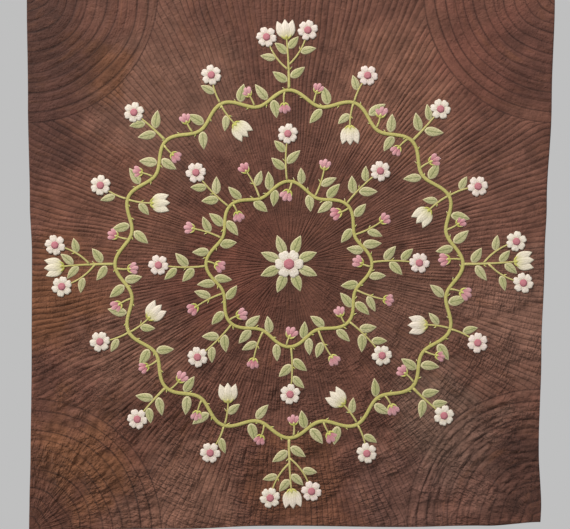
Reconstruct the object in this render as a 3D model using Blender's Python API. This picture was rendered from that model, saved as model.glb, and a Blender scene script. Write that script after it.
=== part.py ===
"""A whole-cloth quilt that hangs flat against a wall, with vines, leaves and flowers sewn on its face.

Metres, +Z up. The face looks to -Y and the back lies on the wall's plane, y = 0. The origin is the middle
of the top edge, where the quilt is held. Points on the cloth are worked out flat, as (x, z), and are then
set off the wall by the lie of the cloth and by the layer that they belong to.
"""

import math
from collections import namedtuple

import bmesh
import bpy
from mathutils import Vector
from mathutils.geometry import delaunay_2d_cdt

# Cloth, batting and layers, counted from the back
EDGE_LOFT = 0.0030
SEWN_LOFT = 0.0030
FULL_LOFT = 0.0060
LAYER_GAP = 0.0007
STEM_THICKNESS = 0.0012
FLOWER_THICKNESS = 0.0016
STEM_LEVEL = FULL_LOFT + LAYER_GAP
FLOWER_LEVEL = STEM_LEVEL + STEM_THICKNESS + LAYER_GAP
HEART_LEVEL = FLOWER_LEVEL + FLOWER_THICKNESS + LAYER_GAP

# The outline, as uneven as it hangs: drop below the top edge, then where the two sides are
SideRow = namedtuple("SideRow", "drop left right")
SIDES = (
    SideRow(0.00, -0.927, 0.926),
    SideRow(0.39, -0.922, 0.914),
    SideRow(0.74, -0.915, 0.896),
    SideRow(0.92, -0.907, 0.888),
    SideRow(1.27, -0.908, 0.876),
    SideRow(1.62, -0.911, 0.865),
    SideRow(1.79, -0.913, 0.871),
    SideRow(1.89, -0.914, 0.867),
)
HemRow = namedtuple("HemRow", "x drop")
HEM = (
    HemRow(-0.914, 1.887),
    HemRow(-0.400, 1.882),
    HemRow(-0.100, 1.873),
    HemRow(0.070, 1.872),
    HemRow(0.420, 1.876),
    HemRow(0.680, 1.869),
    HemRow(0.868, 1.853),
)
EDGE_STEPS = 30

# How the cloth stands off the wall
HELD_DROP = 0.15
HELD_SPOTS = (-0.85, -0.50, 0.00, 0.50, 0.85)
FREE_DROP = 1.20
WAVE_DEPTH = 0.0030
WAVE_LENGTH = 0.62
WAVE_START = 0.08
CurlRow = namedtuple("CurlRow", "x z depth reach")
CURLS = (
    CurlRow(-0.91, -1.89, 0.009, 0.24),
    CurlRow(0.87, -1.85, 0.014, 0.26),
)

# Quilting: rays from the middle of the design, and a fan of arcs in each corner
CENTRE = Vector((-0.007, -0.955))
RAYS = 144
RingRow = namedtuple("RingRow", "radius every")
RAY_ZONES = (
    RingRow(0.095, 6),
    RingRow(0.190, 3),
    RingRow(0.360, 1),
)
RAY_STEP = 0.105
RAY_GAP = 0.030
RAY_MARGIN = 0.014
RAY_CLEAR = 0.50
RAY_BLOCKED = 1.50
RAY_CLOSENESS = 0.0005
FAN_FIRST = 0.075
FAN_PITCH = 0.070
FAN_ARCS = 6
FAN_STEP = 0.060
FAN_MARGIN = 0.014
BACK_STEP = 0.16
BACK_COLUMNS = 6
BACK_ROWS = 12
KEEP_INSIDE = 1
SAME_POINT = 1e-7

# Sewn-on stems, leaves and flowers
NECK = 0.0066
STEM_STEP = 0.036
SPRIG_ROOM = 1.6 * NECK
SPRAY_NARROWING = 0.8
TWIG_WIDTH = 0.0078
TIP_WIDTH = 0.0056
REPEATS = 8
UNIT = 2 * math.pi / REPEATS
LEAF_WIDTH = 0.50
OutlineRow = namedtuple("OutlineRow", "along across")
LEAF_OUTLINE = (
    OutlineRow(0.36, 0.50),
    OutlineRow(0.70, 0.36),
)
DAISY_RADIUS = 0.037
DAISY_PETALS = 6
DAISY_SEAT = 0.7
PETAL_NOTCH = 0.74
PETAL_ROUND = 0.52
TULIP_OUTLINE = (
    OutlineRow(0.00, 0.10),
    OutlineRow(0.12, 0.38),
    OutlineRow(0.45, 0.50),
    OutlineRow(1.00, 0.46),
    OutlineRow(0.74, 0.22),
    OutlineRow(1.06, 0.00),
)
TULIP_LENGTH = 0.064
TULIP_WIDTH = 1.05
TULIP_FOOT = 0.006
ROSETTE_RADIUS = 0.052
ROSETTE_RING = 0.036
ROSETTE_BAND = 0.011
HEART_RADIUS = 0.017
HEART_SIDES = 12

VineRow = namedtuple("VineRow", "name radius swing waves width")
INNER_VINE = VineRow("vine_inner", 0.270, 0.020, 8, 0.0122)
OUTER_VINE = VineRow("vine_outer", 0.585, 0.024, 16, 0.0132)

# What grows from a stem: where along it (a share of its length, or of one repeat of a vine), on which side
# (1 is left of the way that it runs, -1 is right), how far it leans from square and, in radians, its turn
Leaf = namedtuple("Leaf", "at side lean length")
Twig = namedtuple("Twig", "at side lean length turn flower sprigs")
Spray = namedtuple("Spray", "start length turn flower sprigs")

ROSETTE_LEAF = Leaf(0.0, 1, 0.0, 0.072)
MID_TWIG = Twig(
    0.0, -1, 0.10, 0.135, -0.25, "daisy",
    (Leaf(0.28, 1, 0.75, 0.065), Leaf(0.42, -1, 0.75, 0.065), Leaf(0.72, 1, 0.75, 0.058)),
)
BUD_TWIG = Twig(
    0.5, -1, -0.10, 0.100, 0.30, "bud",
    (Leaf(0.40, -1, 0.80, 0.060),),
)
INNER_GROWTH = (
    MID_TWIG,
    Leaf(0.20, 1, 0.30, 0.065),
    Leaf(0.30, -1, -0.20, 0.065),
    BUD_TWIG,
    Leaf(0.62, 1, -0.40, 0.065),
    Leaf(0.77, -1, 0.20, 0.062),
)
OUTER_GROWTH = (
    Leaf(0.11, 1, -0.10, 0.067),
    Leaf(0.15, -1, 0.55, 0.069),
    Leaf(0.36, -1, -0.50, 0.069),
    Twig(
        0.50, -1, 0.12, 0.075, -0.35, "daisy",
        (Leaf(0.50, 1, 0.85, 0.056),),
    ),
    Twig(
        0.50, 1, -0.10, 0.085, 0.30, "tulip",
        (Leaf(0.42, -1, 0.85, 0.056),),
    ),
    Leaf(0.68, -1, 0.50, 0.069),
    Leaf(0.72, 1, 0.50, 0.065),
)
SIDE_LEFT = Twig(0.36, 1, 0.70, 0.110, -0.55, "daisy", (Leaf(0.50, 1, 0.80, 0.056),))
SIDE_RIGHT = Twig(0.46, -1, 0.70, 0.110, 0.55, "daisy", (Leaf(0.50, -1, 0.80, 0.056),))
LONG_SPRAY = Spray(
    0.618, 0.180, 0.10, "tulip",
    (
        Leaf(0.12, 1, 0.60, 0.065), Leaf(0.20, -1, 0.60, 0.065),
        SIDE_LEFT, SIDE_RIGHT,
        Leaf(0.66, 1, 0.80, 0.058), Leaf(0.76, -1, 0.80, 0.058),
    ),
)
SHORT_SPRAY = Spray(
    0.618, 0.115, 0.10, "daisy",
    (Leaf(0.30, 1, 0.60, 0.067), Leaf(0.42, -1, 0.60, 0.067), Leaf(0.74, 1, 0.70, 0.058)),
)

ClothRow = namedtuple("ClothRow", "colour roughness")
CLOTHS = {
    "plum_cotton": ClothRow((0.110, 0.058, 0.046), 0.85),
    "lime_cotton": ClothRow((0.42, 0.43, 0.105), 0.80),
    "sage_cotton": ClothRow((0.46, 0.44, 0.24), 0.80),
    "cream_cotton": ClothRow((0.80, 0.76, 0.66), 0.80),
    "rose_cotton": ClothRow((0.55, 0.18, 0.24), 0.80),
}


def clear_scene():
    """Leaves an empty scene."""
    for thing in list(bpy.data.objects):
        bpy.data.objects.remove(thing)


def cloth_material(name):
    """The plain cloth material of that name, made once."""
    found = bpy.data.materials.get(name)
    if found:
        return found
    row = CLOTHS[name]
    material = bpy.data.materials.new(name)
    material.use_nodes = True
    shader = material.node_tree.nodes["Principled BSDF"]
    shader.inputs["Base Color"].default_value = (*row.colour, 1.0)
    shader.inputs["Roughness"].default_value = row.roughness
    shader.inputs["Metallic"].default_value = 0.0
    return material


def polar(radius, angle):
    """The point of the cloth at that radius and angle round the middle of the design."""
    return CENTRE + radius * Vector((math.cos(angle), math.sin(angle)))


def smooth(share):
    """0 to 1 with level ends."""
    share = min(1.0, max(0.0, share))
    return share * share * (3 - 2 * share)


def between(rows, value, key, column):
    """A column of a table, eased between the two rows on either side of value."""
    for low, high in zip(rows, rows[1:]):
        if value <= getattr(high, key):
            break
    span = getattr(high, key) - getattr(low, key)
    share = smooth((value - getattr(low, key)) / span)
    return getattr(low, column) + share * (getattr(high, column) - getattr(low, column))


def off_wall(point):
    """How far the back of the cloth stands off the wall at (x, z)."""
    x, z = point
    hang = smooth((-z - HELD_DROP) / (FREE_DROP - HELD_DROP))
    wave = WAVE_DEPTH * hang * (1 + math.sin(2 * math.pi * (x - WAVE_START) / WAVE_LENGTH))
    for curl in CURLS:
        away = ((x - curl.x) ** 2 + (z - curl.z) ** 2) / curl.reach**2
        wave += curl.depth * math.exp(-away)
    return wave if -z > HELD_DROP else 0.0


def set_off(point, level):
    """The 3-D place of a point of the cloth at that level above the back."""
    return Vector((point[0], -off_wall(point) - level, point[1]))


def outline():
    """The edge of the cloth as (x, z) points, from the top left corner to the right and round."""
    corner_drop = {"left": HEM[0].drop, "right": HEM[-1].drop}
    shares = [step / EDGE_STEPS for step in range(EDGE_STEPS)]
    top = [(SIDES[0].left + s * (SIDES[0].right - SIDES[0].left), 0.0) for s in shares]
    right = [
        (between(SIDES, s * corner_drop["right"], "drop", "right"), -s * corner_drop["right"])
        for s in shares
    ]
    hem_x = [HEM[-1].x + s * (HEM[0].x - HEM[-1].x) for s in shares]
    bottom = [(x, -between(HEM, x, "x", "drop")) for x in hem_x]
    left = [
        (between(SIDES, (1 - s) * corner_drop["left"], "drop", "left"), -(1 - s) * corner_drop["left"])
        for s in shares
    ]
    return [Vector(p) for p in (*top, *right, *bottom, *left)]


def inside(point, margin):
    """Whether a point is on the cloth, at least margin from its edge."""
    x, z = point
    drop = -z
    if not margin <= drop <= HEM[0].drop:
        return False
    sides = between(SIDES, drop, "drop", "left"), between(SIDES, drop, "drop", "right")
    if not sides[0] + margin <= x <= sides[1] - margin:
        return False
    return drop <= between(HEM, x, "x", "drop") - margin


def corners():
    """The four corners, each with the way that it faces into the cloth."""
    return (
        (Vector((SIDES[0].left, 0.0)), 1, -1),
        (Vector((SIDES[0].right, 0.0)), -1, -1),
        (Vector((HEM[0].x, -HEM[0].drop)), 1, 1),
        (Vector((HEM[-1].x, -HEM[-1].drop)), -1, 1),
    )


def clear_of_fans(point):
    """Whether a point is outside all four corner fans."""
    reach = FAN_FIRST + FAN_ARCS * FAN_PITCH - FAN_PITCH / 2
    return all((point - corner).length > reach for corner, _, _ in corners())


def fan_lines():
    """Sewn arcs round each corner, with the full arcs that stand between them."""
    lines = []
    for corner, across, down in corners():
        for number in range(2 * FAN_ARCS - 1):
            radius = FAN_FIRST + number * FAN_PITCH / 2
            loft = FULL_LOFT if number % 2 else SEWN_LOFT
            first = math.asin(FAN_MARGIN / radius)
            sweep = math.pi / 2 - 2 * first
            steps = max(3, round(radius * sweep / FAN_STEP))
            angles = [first + sweep * step / steps for step in range(steps + 1)]
            arc = [corner + radius * Vector((across * math.cos(a), down * math.sin(a))) for a in angles]
            lines.append((arc, loft))
    return lines


def ray_reach(angle):
    """How far from the middle a ray can run before the edge or a fan."""
    clear, blocked = RAY_CLEAR, RAY_BLOCKED
    while blocked - clear > RAY_CLOSENESS:
        middle = (clear + blocked) / 2
        point = polar(middle, angle)
        if inside(point, RAY_MARGIN) and clear_of_fans(point):
            clear = middle
        else:
            blocked = middle
    return clear


def ray_points(angle, start, stop=None):
    """Evenly spaced points along one ray, from start to stop or as far as it can run."""
    stop = ray_reach(angle) if stop is None else stop
    steps = max(1, round((stop - start) / RAY_STEP))
    return [polar(start + (stop - start) * step / steps, angle) for step in range(steps + 1)]


def ray_lines():
    """Sewn rays from the middle, more of them further out, with a full line between each two."""
    lines = []
    for ray in range(RAYS):
        start = next(zone.radius for zone in RAY_ZONES if ray % zone.every == 0)
        lines.append((ray_points(2 * math.pi * ray / RAYS, start), SEWN_LOFT))
    ends = [zone.radius for zone in RAY_ZONES[1:]] + [None]
    for zone, end in zip(RAY_ZONES, ends):
        for ray in range(0, RAYS, zone.every):
            angle = 2 * math.pi * (ray + zone.every / 2) / RAYS
            stop = None if end is None else end - RAY_GAP
            lines.append((ray_points(angle, zone.radius, stop), FULL_LOFT))
    return lines


def sheet_of(lines, rim, rim_loft):
    """Triangles inside the rim whose edges follow the lines, as places, lofts and faces."""
    points = list(rim)
    lofts = [rim_loft] * len(rim)
    edges = [(i, (i + 1) % len(rim)) for i in range(len(rim))]
    for line, loft in lines:
        first = len(points)
        points += line
        lofts += [loft] * len(line)
        edges += [(i, i + 1) for i in range(first, len(points) - 1)]
    found, _, faces, origins, _, _ = delaunay_2d_cdt(points, edges, [], KEEP_INSIDE, SAME_POINT)
    found_lofts = [lofts[origin[0]] if origin else SEWN_LOFT for origin in origins]
    return found, found_lofts, faces


def build_quilt():
    """The filled cloth: a face with its sewn channels, a plain back, and a thin edge between them."""
    rim = outline()
    bm = bmesh.new()
    back_dots = [
        ([Vector((column * BACK_STEP, -row * BACK_STEP))], 0.0)
        for column in range(-BACK_COLUMNS, BACK_COLUMNS + 1)
        for row in range(BACK_ROWS)
        if inside((column * BACK_STEP, -row * BACK_STEP), BACK_STEP / 4)
    ]
    held_line = [Vector((x, -HELD_DROP)) for x in HELD_SPOTS]
    rims = []
    for lines, rim_loft in (
        (ray_lines() + fan_lines(), EDGE_LOFT),
        (back_dots + [(held_line, 0.0)], 0.0),
    ):
        points, lofts, faces = sheet_of(lines, rim, rim_loft)
        verts = [bm.verts.new(set_off(p, loft)) for p, loft in zip(points, lofts)]
        for face in faces:
            bm.faces.new([verts[i] for i in face])
        nearest = {tuple(round(c, 6) for c in p): v for p, v in zip(points, verts)}
        rims.append([nearest[tuple(round(c, 6) for c in p)] for p in rim])
    front, back = rims
    for i in range(len(rim)):
        j = (i + 1) % len(rim)
        bm.faces.new((front[i], front[j], back[j], back[i]))
    bmesh.ops.recalc_face_normals(bm, faces=bm.faces[:])
    place("quilt", bm, "plum_cotton")


def place(name, bm, cloth):
    """Makes the bmesh an object of that name and cloth."""
    mesh = bpy.data.meshes.new(name)
    bm.to_mesh(mesh)
    bm.free()
    mesh.materials.append(cloth_material(cloth))
    thing = bpy.data.objects.new(name, mesh)
    bpy.context.scene.collection.objects.link(thing)


def turned(way, angle):
    """A 2-D direction turned to the left by that angle."""
    cos, sin = math.cos(angle), math.sin(angle)
    return Vector((way.x * cos - way.y * sin, way.x * sin + way.y * cos))


def flat_vert(bm, point):
    """A vertex of the flat pattern, which is lifted onto the cloth at the end."""
    return bm.verts.new((point[0], 0.0, point[1]))


def on_pattern(vert):
    """A vertex's place on the flat pattern, as (x, z)."""
    return Vector((vert.co.x, vert.co.z))


def grow_leaf(bm, base, way, leaf):
    """A pointed oval leaf out of the base edge of a stem."""
    foot = (on_pattern(base[0]) + on_pattern(base[1])) / 2
    left = turned(way, math.pi / 2)
    if (on_pattern(base[0]) - on_pattern(base[1])).dot(left) < 0:
        base = (base[1], base[0])
    sides = ([], [])
    for row in LEAF_OUTLINE:
        spot = foot + way * leaf.length * row.along
        reach = left * leaf.length * LEAF_WIDTH * row.across
        sides[0].append(flat_vert(bm, spot + reach))
        sides[1].append(flat_vert(bm, spot - reach))
    tip = flat_vert(bm, foot + way * leaf.length)
    bm.faces.new((base[0], *sides[0], tip, *reversed(sides[1]), base[1]))


def stations(length, sprigs, step):
    """Where a stem's cross-sections lie: evenly, and a pair of them at each sprig."""
    starts = sorted({sprig.at * length for sprig in sprigs})
    count = max(2, round(length / step))
    evenly = [i * length / count for i in range(count + 1)]
    clear = [s for s in evenly if all(abs(s - start) > SPRIG_ROOM for start in starts)]
    return sorted(clear + [start + side * NECK / 2 for start in starts for side in (-1, 1)])


def grow_twig(bm, root, way, length, turn, widths, sprigs, base=None):
    """A tapering stem along an arc, with what grows from it, and the flowers' (kind, point, way)."""
    bend = turn / length
    at_root = [] if base is None else [0.0]
    places = [s for s in stations(length, sprigs, STEM_STEP) if base is None or s > NECK]
    left_side, right_side, ways = [], [], []
    for s in at_root + places:
        middle = root + turned(way, bend * s / 2) * math.sin(bend * s / 2) / (bend / 2)
        heading = turned(way, bend * s)
        across = turned(heading, math.pi / 2) * (widths[0] + (widths[1] - widths[0]) * s / length) / 2
        ways.append(heading)
        if base is not None and s == 0.0:
            pair = base if (on_pattern(base[0]) - on_pattern(base[1])).dot(across) > 0 else base[::-1]
            left_side.append(pair[0])
            right_side.append(pair[1])
            continue
        left_side.append(flat_vert(bm, middle + across))
        right_side.append(flat_vert(bm, middle - across))
    for i in range(len(ways) - 1):
        bm.faces.new((left_side[i], left_side[i + 1], right_side[i + 1], right_side[i]))
    spots = []
    reached = at_root + places
    for sprig in sprigs:
        first = min(range(len(reached)), key=lambda i: abs(reached[i] - (sprig.at * length - NECK / 2)))
        side = left_side if sprig.side > 0 else right_side
        out = turned(ways[first], sprig.side * (math.pi / 2 - sprig.lean))
        spots += grow(bm, (side[first], side[first + 1]), out, sprig)
    end = (on_pattern(left_side[-1]) + on_pattern(right_side[-1])) / 2
    return spots, end, ways[-1]


def grow(bm, base, way, sprig):
    """A leaf or a twig out of the base edge of a stem."""
    if isinstance(sprig, Leaf):
        grow_leaf(bm, base, way, sprig)
        return []
    root = (on_pattern(base[0]) + on_pattern(base[1])) / 2
    spots, end, heading = grow_twig(
        bm, root, way, sprig.length, sprig.turn, (TWIG_WIDTH, TIP_WIDTH), sprig.sprigs, base
    )
    return spots + [(sprig.flower, end, heading)]


def thicken(bm, level, thickness):
    """Makes the flat pattern a closed piece of cloth that lies on the quilt at that level."""
    under = bm.faces[:]
    made = bmesh.ops.extrude_face_region(bm, geom=under)
    raised = {v for v in made["geom"] if isinstance(v, bmesh.types.BMVert)}
    for vert in bm.verts:
        height = level + thickness if vert in raised else level
        vert.co = set_off(on_pattern(vert), height)
    bmesh.ops.recalc_face_normals(bm, faces=bm.faces[:])


def build_vine(vine, growth):
    """A vine that waves round the middle in a ring, with all that grows from it."""
    bm = bmesh.new()
    circle = 2 * math.pi * vine.radius
    repeated = [
        sprig._replace(at=((repeat + sprig.at) / REPEATS) % 1.0)
        for repeat in range(REPEATS)
        for sprig in growth
    ]
    shift = NECK / circle
    repeated = [sprig._replace(at=sprig.at + shift) for sprig in repeated]
    places = [s for s in stations(circle, repeated, STEM_STEP) if s < circle - NECK / 4]
    inner_side, outer_side = [], []
    for s in places:
        angle = 2 * math.pi * s / circle
        radius = vine.radius + vine.swing * math.cos(vine.waves * angle)
        inner_side.append(flat_vert(bm, polar(radius - vine.width / 2, angle)))
        outer_side.append(flat_vert(bm, polar(radius + vine.width / 2, angle)))
    for i in range(len(places)):
        j = (i + 1) % len(places)
        bm.faces.new((inner_side[i], inner_side[j], outer_side[j], outer_side[i]))
    spots = []
    for sprig in repeated:
        first = min(range(len(places)), key=lambda i: abs(places[i] - (sprig.at * circle - NECK / 2)))
        side = inner_side if sprig.side > 0 else outer_side
        outward = polar(1.0, 2 * math.pi * sprig.at) - CENTRE
        out = turned(outward * -sprig.side, -sprig.side * sprig.lean)
        spots += grow(bm, (side[first], side[first + 1]), out, sprig)
    thicken(bm, STEM_LEVEL, STEM_THICKNESS)
    place(vine.name, bm, "lime_cotton")
    return spots


def build_spray(number, spray):
    """A spray that grows straight out from the outer vine."""
    bm = bmesh.new()
    angle = UNIT * number
    way = polar(1.0, angle) - CENTRE
    root = polar(spray.start, angle)
    widths = (OUTER_VINE.width * SPRAY_NARROWING, TIP_WIDTH)
    spots, end, heading = grow_twig(bm, root, way, spray.length, spray.turn, widths, spray.sprigs)
    thicken(bm, STEM_LEVEL, STEM_THICKNESS)
    place(f"spray_{number + 1}", bm, "lime_cotton")
    return spots + [(spray.flower, end, heading)]


def daisy_outline(middle, way, radius):
    """Rounded petals round the middle."""
    points = []
    for petal in range(DAISY_PETALS):
        middle_angle = math.atan2(way.y, way.x) + 2 * math.pi * petal / DAISY_PETALS
        half = math.pi / DAISY_PETALS
        for turn, reach in ((-half, PETAL_NOTCH), (-half * PETAL_ROUND, 1.0), (half * PETAL_ROUND, 1.0)):
            angle = middle_angle + turn
            points.append(middle + radius * reach * Vector((math.cos(angle), math.sin(angle))))
    return points


def tulip_outline(foot, way):
    """A cup of three petals that opens along the way that its stem runs."""
    left = turned(way, math.pi / 2)
    rising = [
        foot + TULIP_LENGTH * (way * row.along + left * row.across * TULIP_WIDTH)
        for row in TULIP_OUTLINE
    ]
    falling = [
        foot + TULIP_LENGTH * (way * row.along - left * row.across * TULIP_WIDTH)
        for row in reversed(TULIP_OUTLINE[:-1])
    ]
    return rising + falling


def build_patch(name, points, cloth, level, thickness):
    """A closed piece of cloth cut to that outline."""
    bm = bmesh.new()
    bm.faces.new([flat_vert(bm, point) for point in points])
    thicken(bm, level, thickness)
    place(name, bm, cloth)


def build_flowers(spots):
    """A daisy or a tulip at each spot where a stem ends. Buds are too small to be solids."""
    daisies = [spot for spot in spots if spot[0] == "daisy"]
    for number, (_, end, way) in enumerate(daisies, start=1):
        points = daisy_outline(end + way * DAISY_RADIUS * DAISY_SEAT, way, DAISY_RADIUS)
        build_patch(f"daisy_{number:02d}", points, "cream_cotton", FLOWER_LEVEL, FLOWER_THICKNESS)
    tulips = [spot for spot in spots if spot[0] == "tulip"]
    for number, (_, end, way) in enumerate(tulips, start=1):
        points = tulip_outline(end - way * TULIP_FOOT, way)
        build_patch(f"tulip_{number:02d}", points, "cream_cotton", FLOWER_LEVEL, FLOWER_THICKNESS)


def build_rosette():
    """The large flower in the middle, with its heart, on its own ring of leaves."""
    bm = bmesh.new()
    inner, outer = [], []
    for leaf in range(REPEATS):
        for side in (-1, 1):
            angle = UNIT * (leaf + 0.5) + side * NECK / 2 / ROSETTE_RING
            inner.append(flat_vert(bm, polar(ROSETTE_RING - ROSETTE_BAND, angle)))
            outer.append(flat_vert(bm, polar(ROSETTE_RING, angle)))
    for i in range(len(inner)):
        j = (i + 1) % len(inner)
        bm.faces.new((inner[i], inner[j], outer[j], outer[i]))
    for leaf in range(REPEATS):
        way = polar(1.0, UNIT * (leaf + 0.5)) - CENTRE
        grow_leaf(bm, (outer[2 * leaf], outer[2 * leaf + 1]), way, ROSETTE_LEAF)
    thicken(bm, STEM_LEVEL, STEM_THICKNESS)
    place("rosette_leaves", bm, "sage_cotton")
    petals = daisy_outline(CENTRE, Vector((1, 0)), ROSETTE_RADIUS)
    build_patch("rosette", petals, "cream_cotton", FLOWER_LEVEL, FLOWER_THICKNESS)
    heart = [polar(HEART_RADIUS, 2 * math.pi * side / HEART_SIDES) for side in range(HEART_SIDES)]
    build_patch("rosette_heart", heart, "rose_cotton", HEART_LEVEL, FLOWER_THICKNESS)


def main():
    """Builds the quilt and all that is sewn on it."""
    clear_scene()
    build_quilt()
    build_rosette()
    spots = build_vine(INNER_VINE, INNER_GROWTH) + build_vine(OUTER_VINE, OUTER_GROWTH)
    for number in range(REPEATS):
        spots += build_spray(number, SHORT_SPRAY if number % 2 else LONG_SPRAY)
    build_flowers(spots)


main()
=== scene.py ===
# %% [markdown]
# # A quilt that hangs on a wall
# The real thing is three layers: a hand-dyed cotton top, a thin batting and a cotton backing, sewn through
# in lines that ray out from the middle. Stems, leaves and flowers of other cottons are sewn on the top. The
# solids of the part are already packed as a frame, and every piece made here goes where they say.

# %% Load the frame
import math
import random
from collections import namedtuple

import bmesh
import bpy
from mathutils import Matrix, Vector, noise
from mathutils.kdtree import KDTree


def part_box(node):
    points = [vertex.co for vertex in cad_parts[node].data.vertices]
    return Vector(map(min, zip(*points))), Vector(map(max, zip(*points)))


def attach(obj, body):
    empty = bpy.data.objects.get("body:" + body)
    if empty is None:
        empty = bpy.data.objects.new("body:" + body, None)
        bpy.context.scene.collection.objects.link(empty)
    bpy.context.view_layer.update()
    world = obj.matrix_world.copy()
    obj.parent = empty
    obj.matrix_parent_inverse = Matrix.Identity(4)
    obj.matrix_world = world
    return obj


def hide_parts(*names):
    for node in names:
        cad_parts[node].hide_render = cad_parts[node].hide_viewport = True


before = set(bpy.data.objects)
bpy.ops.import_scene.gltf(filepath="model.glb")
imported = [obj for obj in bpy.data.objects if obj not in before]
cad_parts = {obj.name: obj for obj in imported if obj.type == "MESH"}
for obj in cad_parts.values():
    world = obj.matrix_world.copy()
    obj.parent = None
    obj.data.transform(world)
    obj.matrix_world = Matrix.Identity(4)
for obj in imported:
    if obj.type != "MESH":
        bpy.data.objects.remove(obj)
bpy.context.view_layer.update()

# %% [markdown]
# ## The lie of the cloth
# A hung quilt is never a true rectangle, and it never lies quite flat. Its two sides and its hem are short
# tables of measured places, eased from row to row. Everything on the quilt is worked out flat first, as (x,
# z) on the wall, and is then set off the wall by one function, so that all the pieces share one lie.

# %% The outline, as tables
SideRow = namedtuple("SideRow", "drop left right")
SIDES = (
    SideRow(0.00, -0.927, 0.926),
    SideRow(0.39, -0.922, 0.914),
    SideRow(0.74, -0.915, 0.896),
    SideRow(0.92, -0.907, 0.888),
    SideRow(1.27, -0.908, 0.876),
    SideRow(1.62, -0.911, 0.865),
    SideRow(1.79, -0.913, 0.871),
    SideRow(1.89, -0.914, 0.867),
)
HemRow = namedtuple("HemRow", "x drop")
HEM = (
    HemRow(-0.914, 1.887),
    HemRow(-0.400, 1.882),
    HemRow(-0.100, 1.873),
    HemRow(0.070, 1.872),
    HemRow(0.420, 1.876),
    HemRow(0.680, 1.869),
    HemRow(0.868, 1.853),
)
CENTRE = Vector((-0.007, -0.955))


def smooth(share):
    """0 to 1 with level ends."""
    share = min(1.0, max(0.0, share))
    return share * share * (3 - 2 * share)


def between(rows, value, key, column):
    """A column of a table, eased between the two rows on either side of value."""
    for low, high in zip(rows, rows[1:]):
        if value <= getattr(high, key):
            break
    span = getattr(high, key) - getattr(low, key)
    share = smooth((value - getattr(low, key)) / span)
    return getattr(low, column) + share * (getattr(high, column) - getattr(low, column))


def edge_distance(x, z):
    """How far a point of the cloth lies from the nearest edge."""
    left = x - between(SIDES, -z, "drop", "left")
    right = between(SIDES, -z, "drop", "right") - x
    return min(left, right, -z, between(HEM, x, "x", "drop") + z)


print("the cloth is", round(SIDES[0].right - SIDES[0].left, 3), "m wide at the top")

# %% [markdown]
# The cloth hangs free below a band that is held flat. It stands off in long shallow waves, and its two lower
# corners curl away. On top of that come a faint rumple and a few creases, placed where tension pulls from the
# corners.

# %% How the cloth stands off the wall
HELD_DROP = 0.15
FREE_DROP = 1.20
WAVE_DEPTH = 0.0030
WAVE_LENGTH = 0.62
WAVE_START = 0.08
CurlRow = namedtuple("CurlRow", "x z depth reach")
CURLS = (
    CurlRow(-0.91, -1.89, 0.009, 0.24),
    CurlRow(0.87, -1.85, 0.014, 0.26),
)
RumpleRow = namedtuple("RumpleRow", "size depth")
RUMPLES = (
    RumpleRow(0.170, 0.0024),
    RumpleRow(0.065, 0.0014),
)
CreaseRow = namedtuple("CreaseRow", "x0 z0 x1 z1 depth width")
CREASES = (
    CreaseRow(0.26, -1.55, 0.40, -1.80, -0.0030, 0.012),
    CreaseRow(0.30, -1.56, 0.46, -1.74, 0.0026, 0.014),
    CreaseRow(0.35, -1.80, 0.50, -1.73, 0.0030, 0.012),
    CreaseRow(0.57, -1.48, 0.72, -1.62, -0.0026, 0.013),
    CreaseRow(0.63, -1.69, 0.80, -1.77, 0.0030, 0.014),
    CreaseRow(0.76, -1.82, 0.86, -1.77, -0.0030, 0.010),
    CreaseRow(0.70, -1.30, 0.84, -1.36, 0.0022, 0.012),
    CreaseRow(-0.86, -1.48, -0.70, -1.56, -0.0026, 0.012),
    CreaseRow(-0.84, -1.66, -0.66, -1.60, 0.0030, 0.013),
    CreaseRow(-0.72, -1.76, -0.55, -1.68, 0.0026, 0.013),
    CreaseRow(-0.62, -1.84, -0.42, -1.79, -0.0026, 0.012),
    CreaseRow(-0.88, -1.30, -0.76, -1.33, 0.0022, 0.011),
)


def off_wall(x, z):
    """The broad lie of the cloth, the same as in the solids."""
    if -z <= HELD_DROP:
        return 0.0
    hang = smooth((-z - HELD_DROP) / (FREE_DROP - HELD_DROP))
    wave = WAVE_DEPTH * hang * (1 + math.sin(2 * math.pi * (x - WAVE_START) / WAVE_LENGTH))
    for curl in CURLS:
        away = ((x - curl.x) ** 2 + (z - curl.z) ** 2) / curl.reach**2
        wave += curl.depth * math.exp(-away)
    return wave


def crease(row, x, z):
    """A soft trough or ridge along a short line, deepest in its middle."""
    way = Vector((row.x1 - row.x0, row.z1 - row.z0))
    from_start = Vector((x - row.x0, z - row.z0))
    share = from_start.dot(way) / way.length_squared
    if not 0.0 < share < 1.0:
        return 0.0
    across = abs(from_start.x * way.y - from_start.y * way.x) / way.length
    if across > 3 * row.width:
        return 0.0
    return row.depth * math.sin(math.pi * share) ** 2 * math.exp(-((across / row.width) ** 2))


def lie(x, z):
    """How far the back of the cloth stands off the wall, creases and all."""
    rumple = 0.0
    for row in RUMPLES:
        rumple += row.depth * (0.5 + noise.noise(Vector((x, 0.0, z)) / row.size) / 2)
    rumple *= smooth(-z / HELD_DROP)
    return off_wall(x, z) + rumple + sum(crease(row, x, z) for row in CREASES)


print("the lower corners stand off", [round(lie(c.x, c.z) * 1000, 1) for c in CURLS], "mm")

# %% [markdown]
# ## Camera
# The photograph was taken straight on. The scale is 3.51 mm a pixel on the cloth, so the camera's distance
# follows from its lens, and its place from the middle of the picture.

# %% The camera
PICTURE_WIDTH_PX = 570
PICTURE_HEIGHT_PX = 529
METRES_PER_PX = 0.00351
TOP_MIDDLE_PX = Vector((291.0, -8.0))
LENS_MM = 50.0
SENSOR_MM = 36.0

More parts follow.
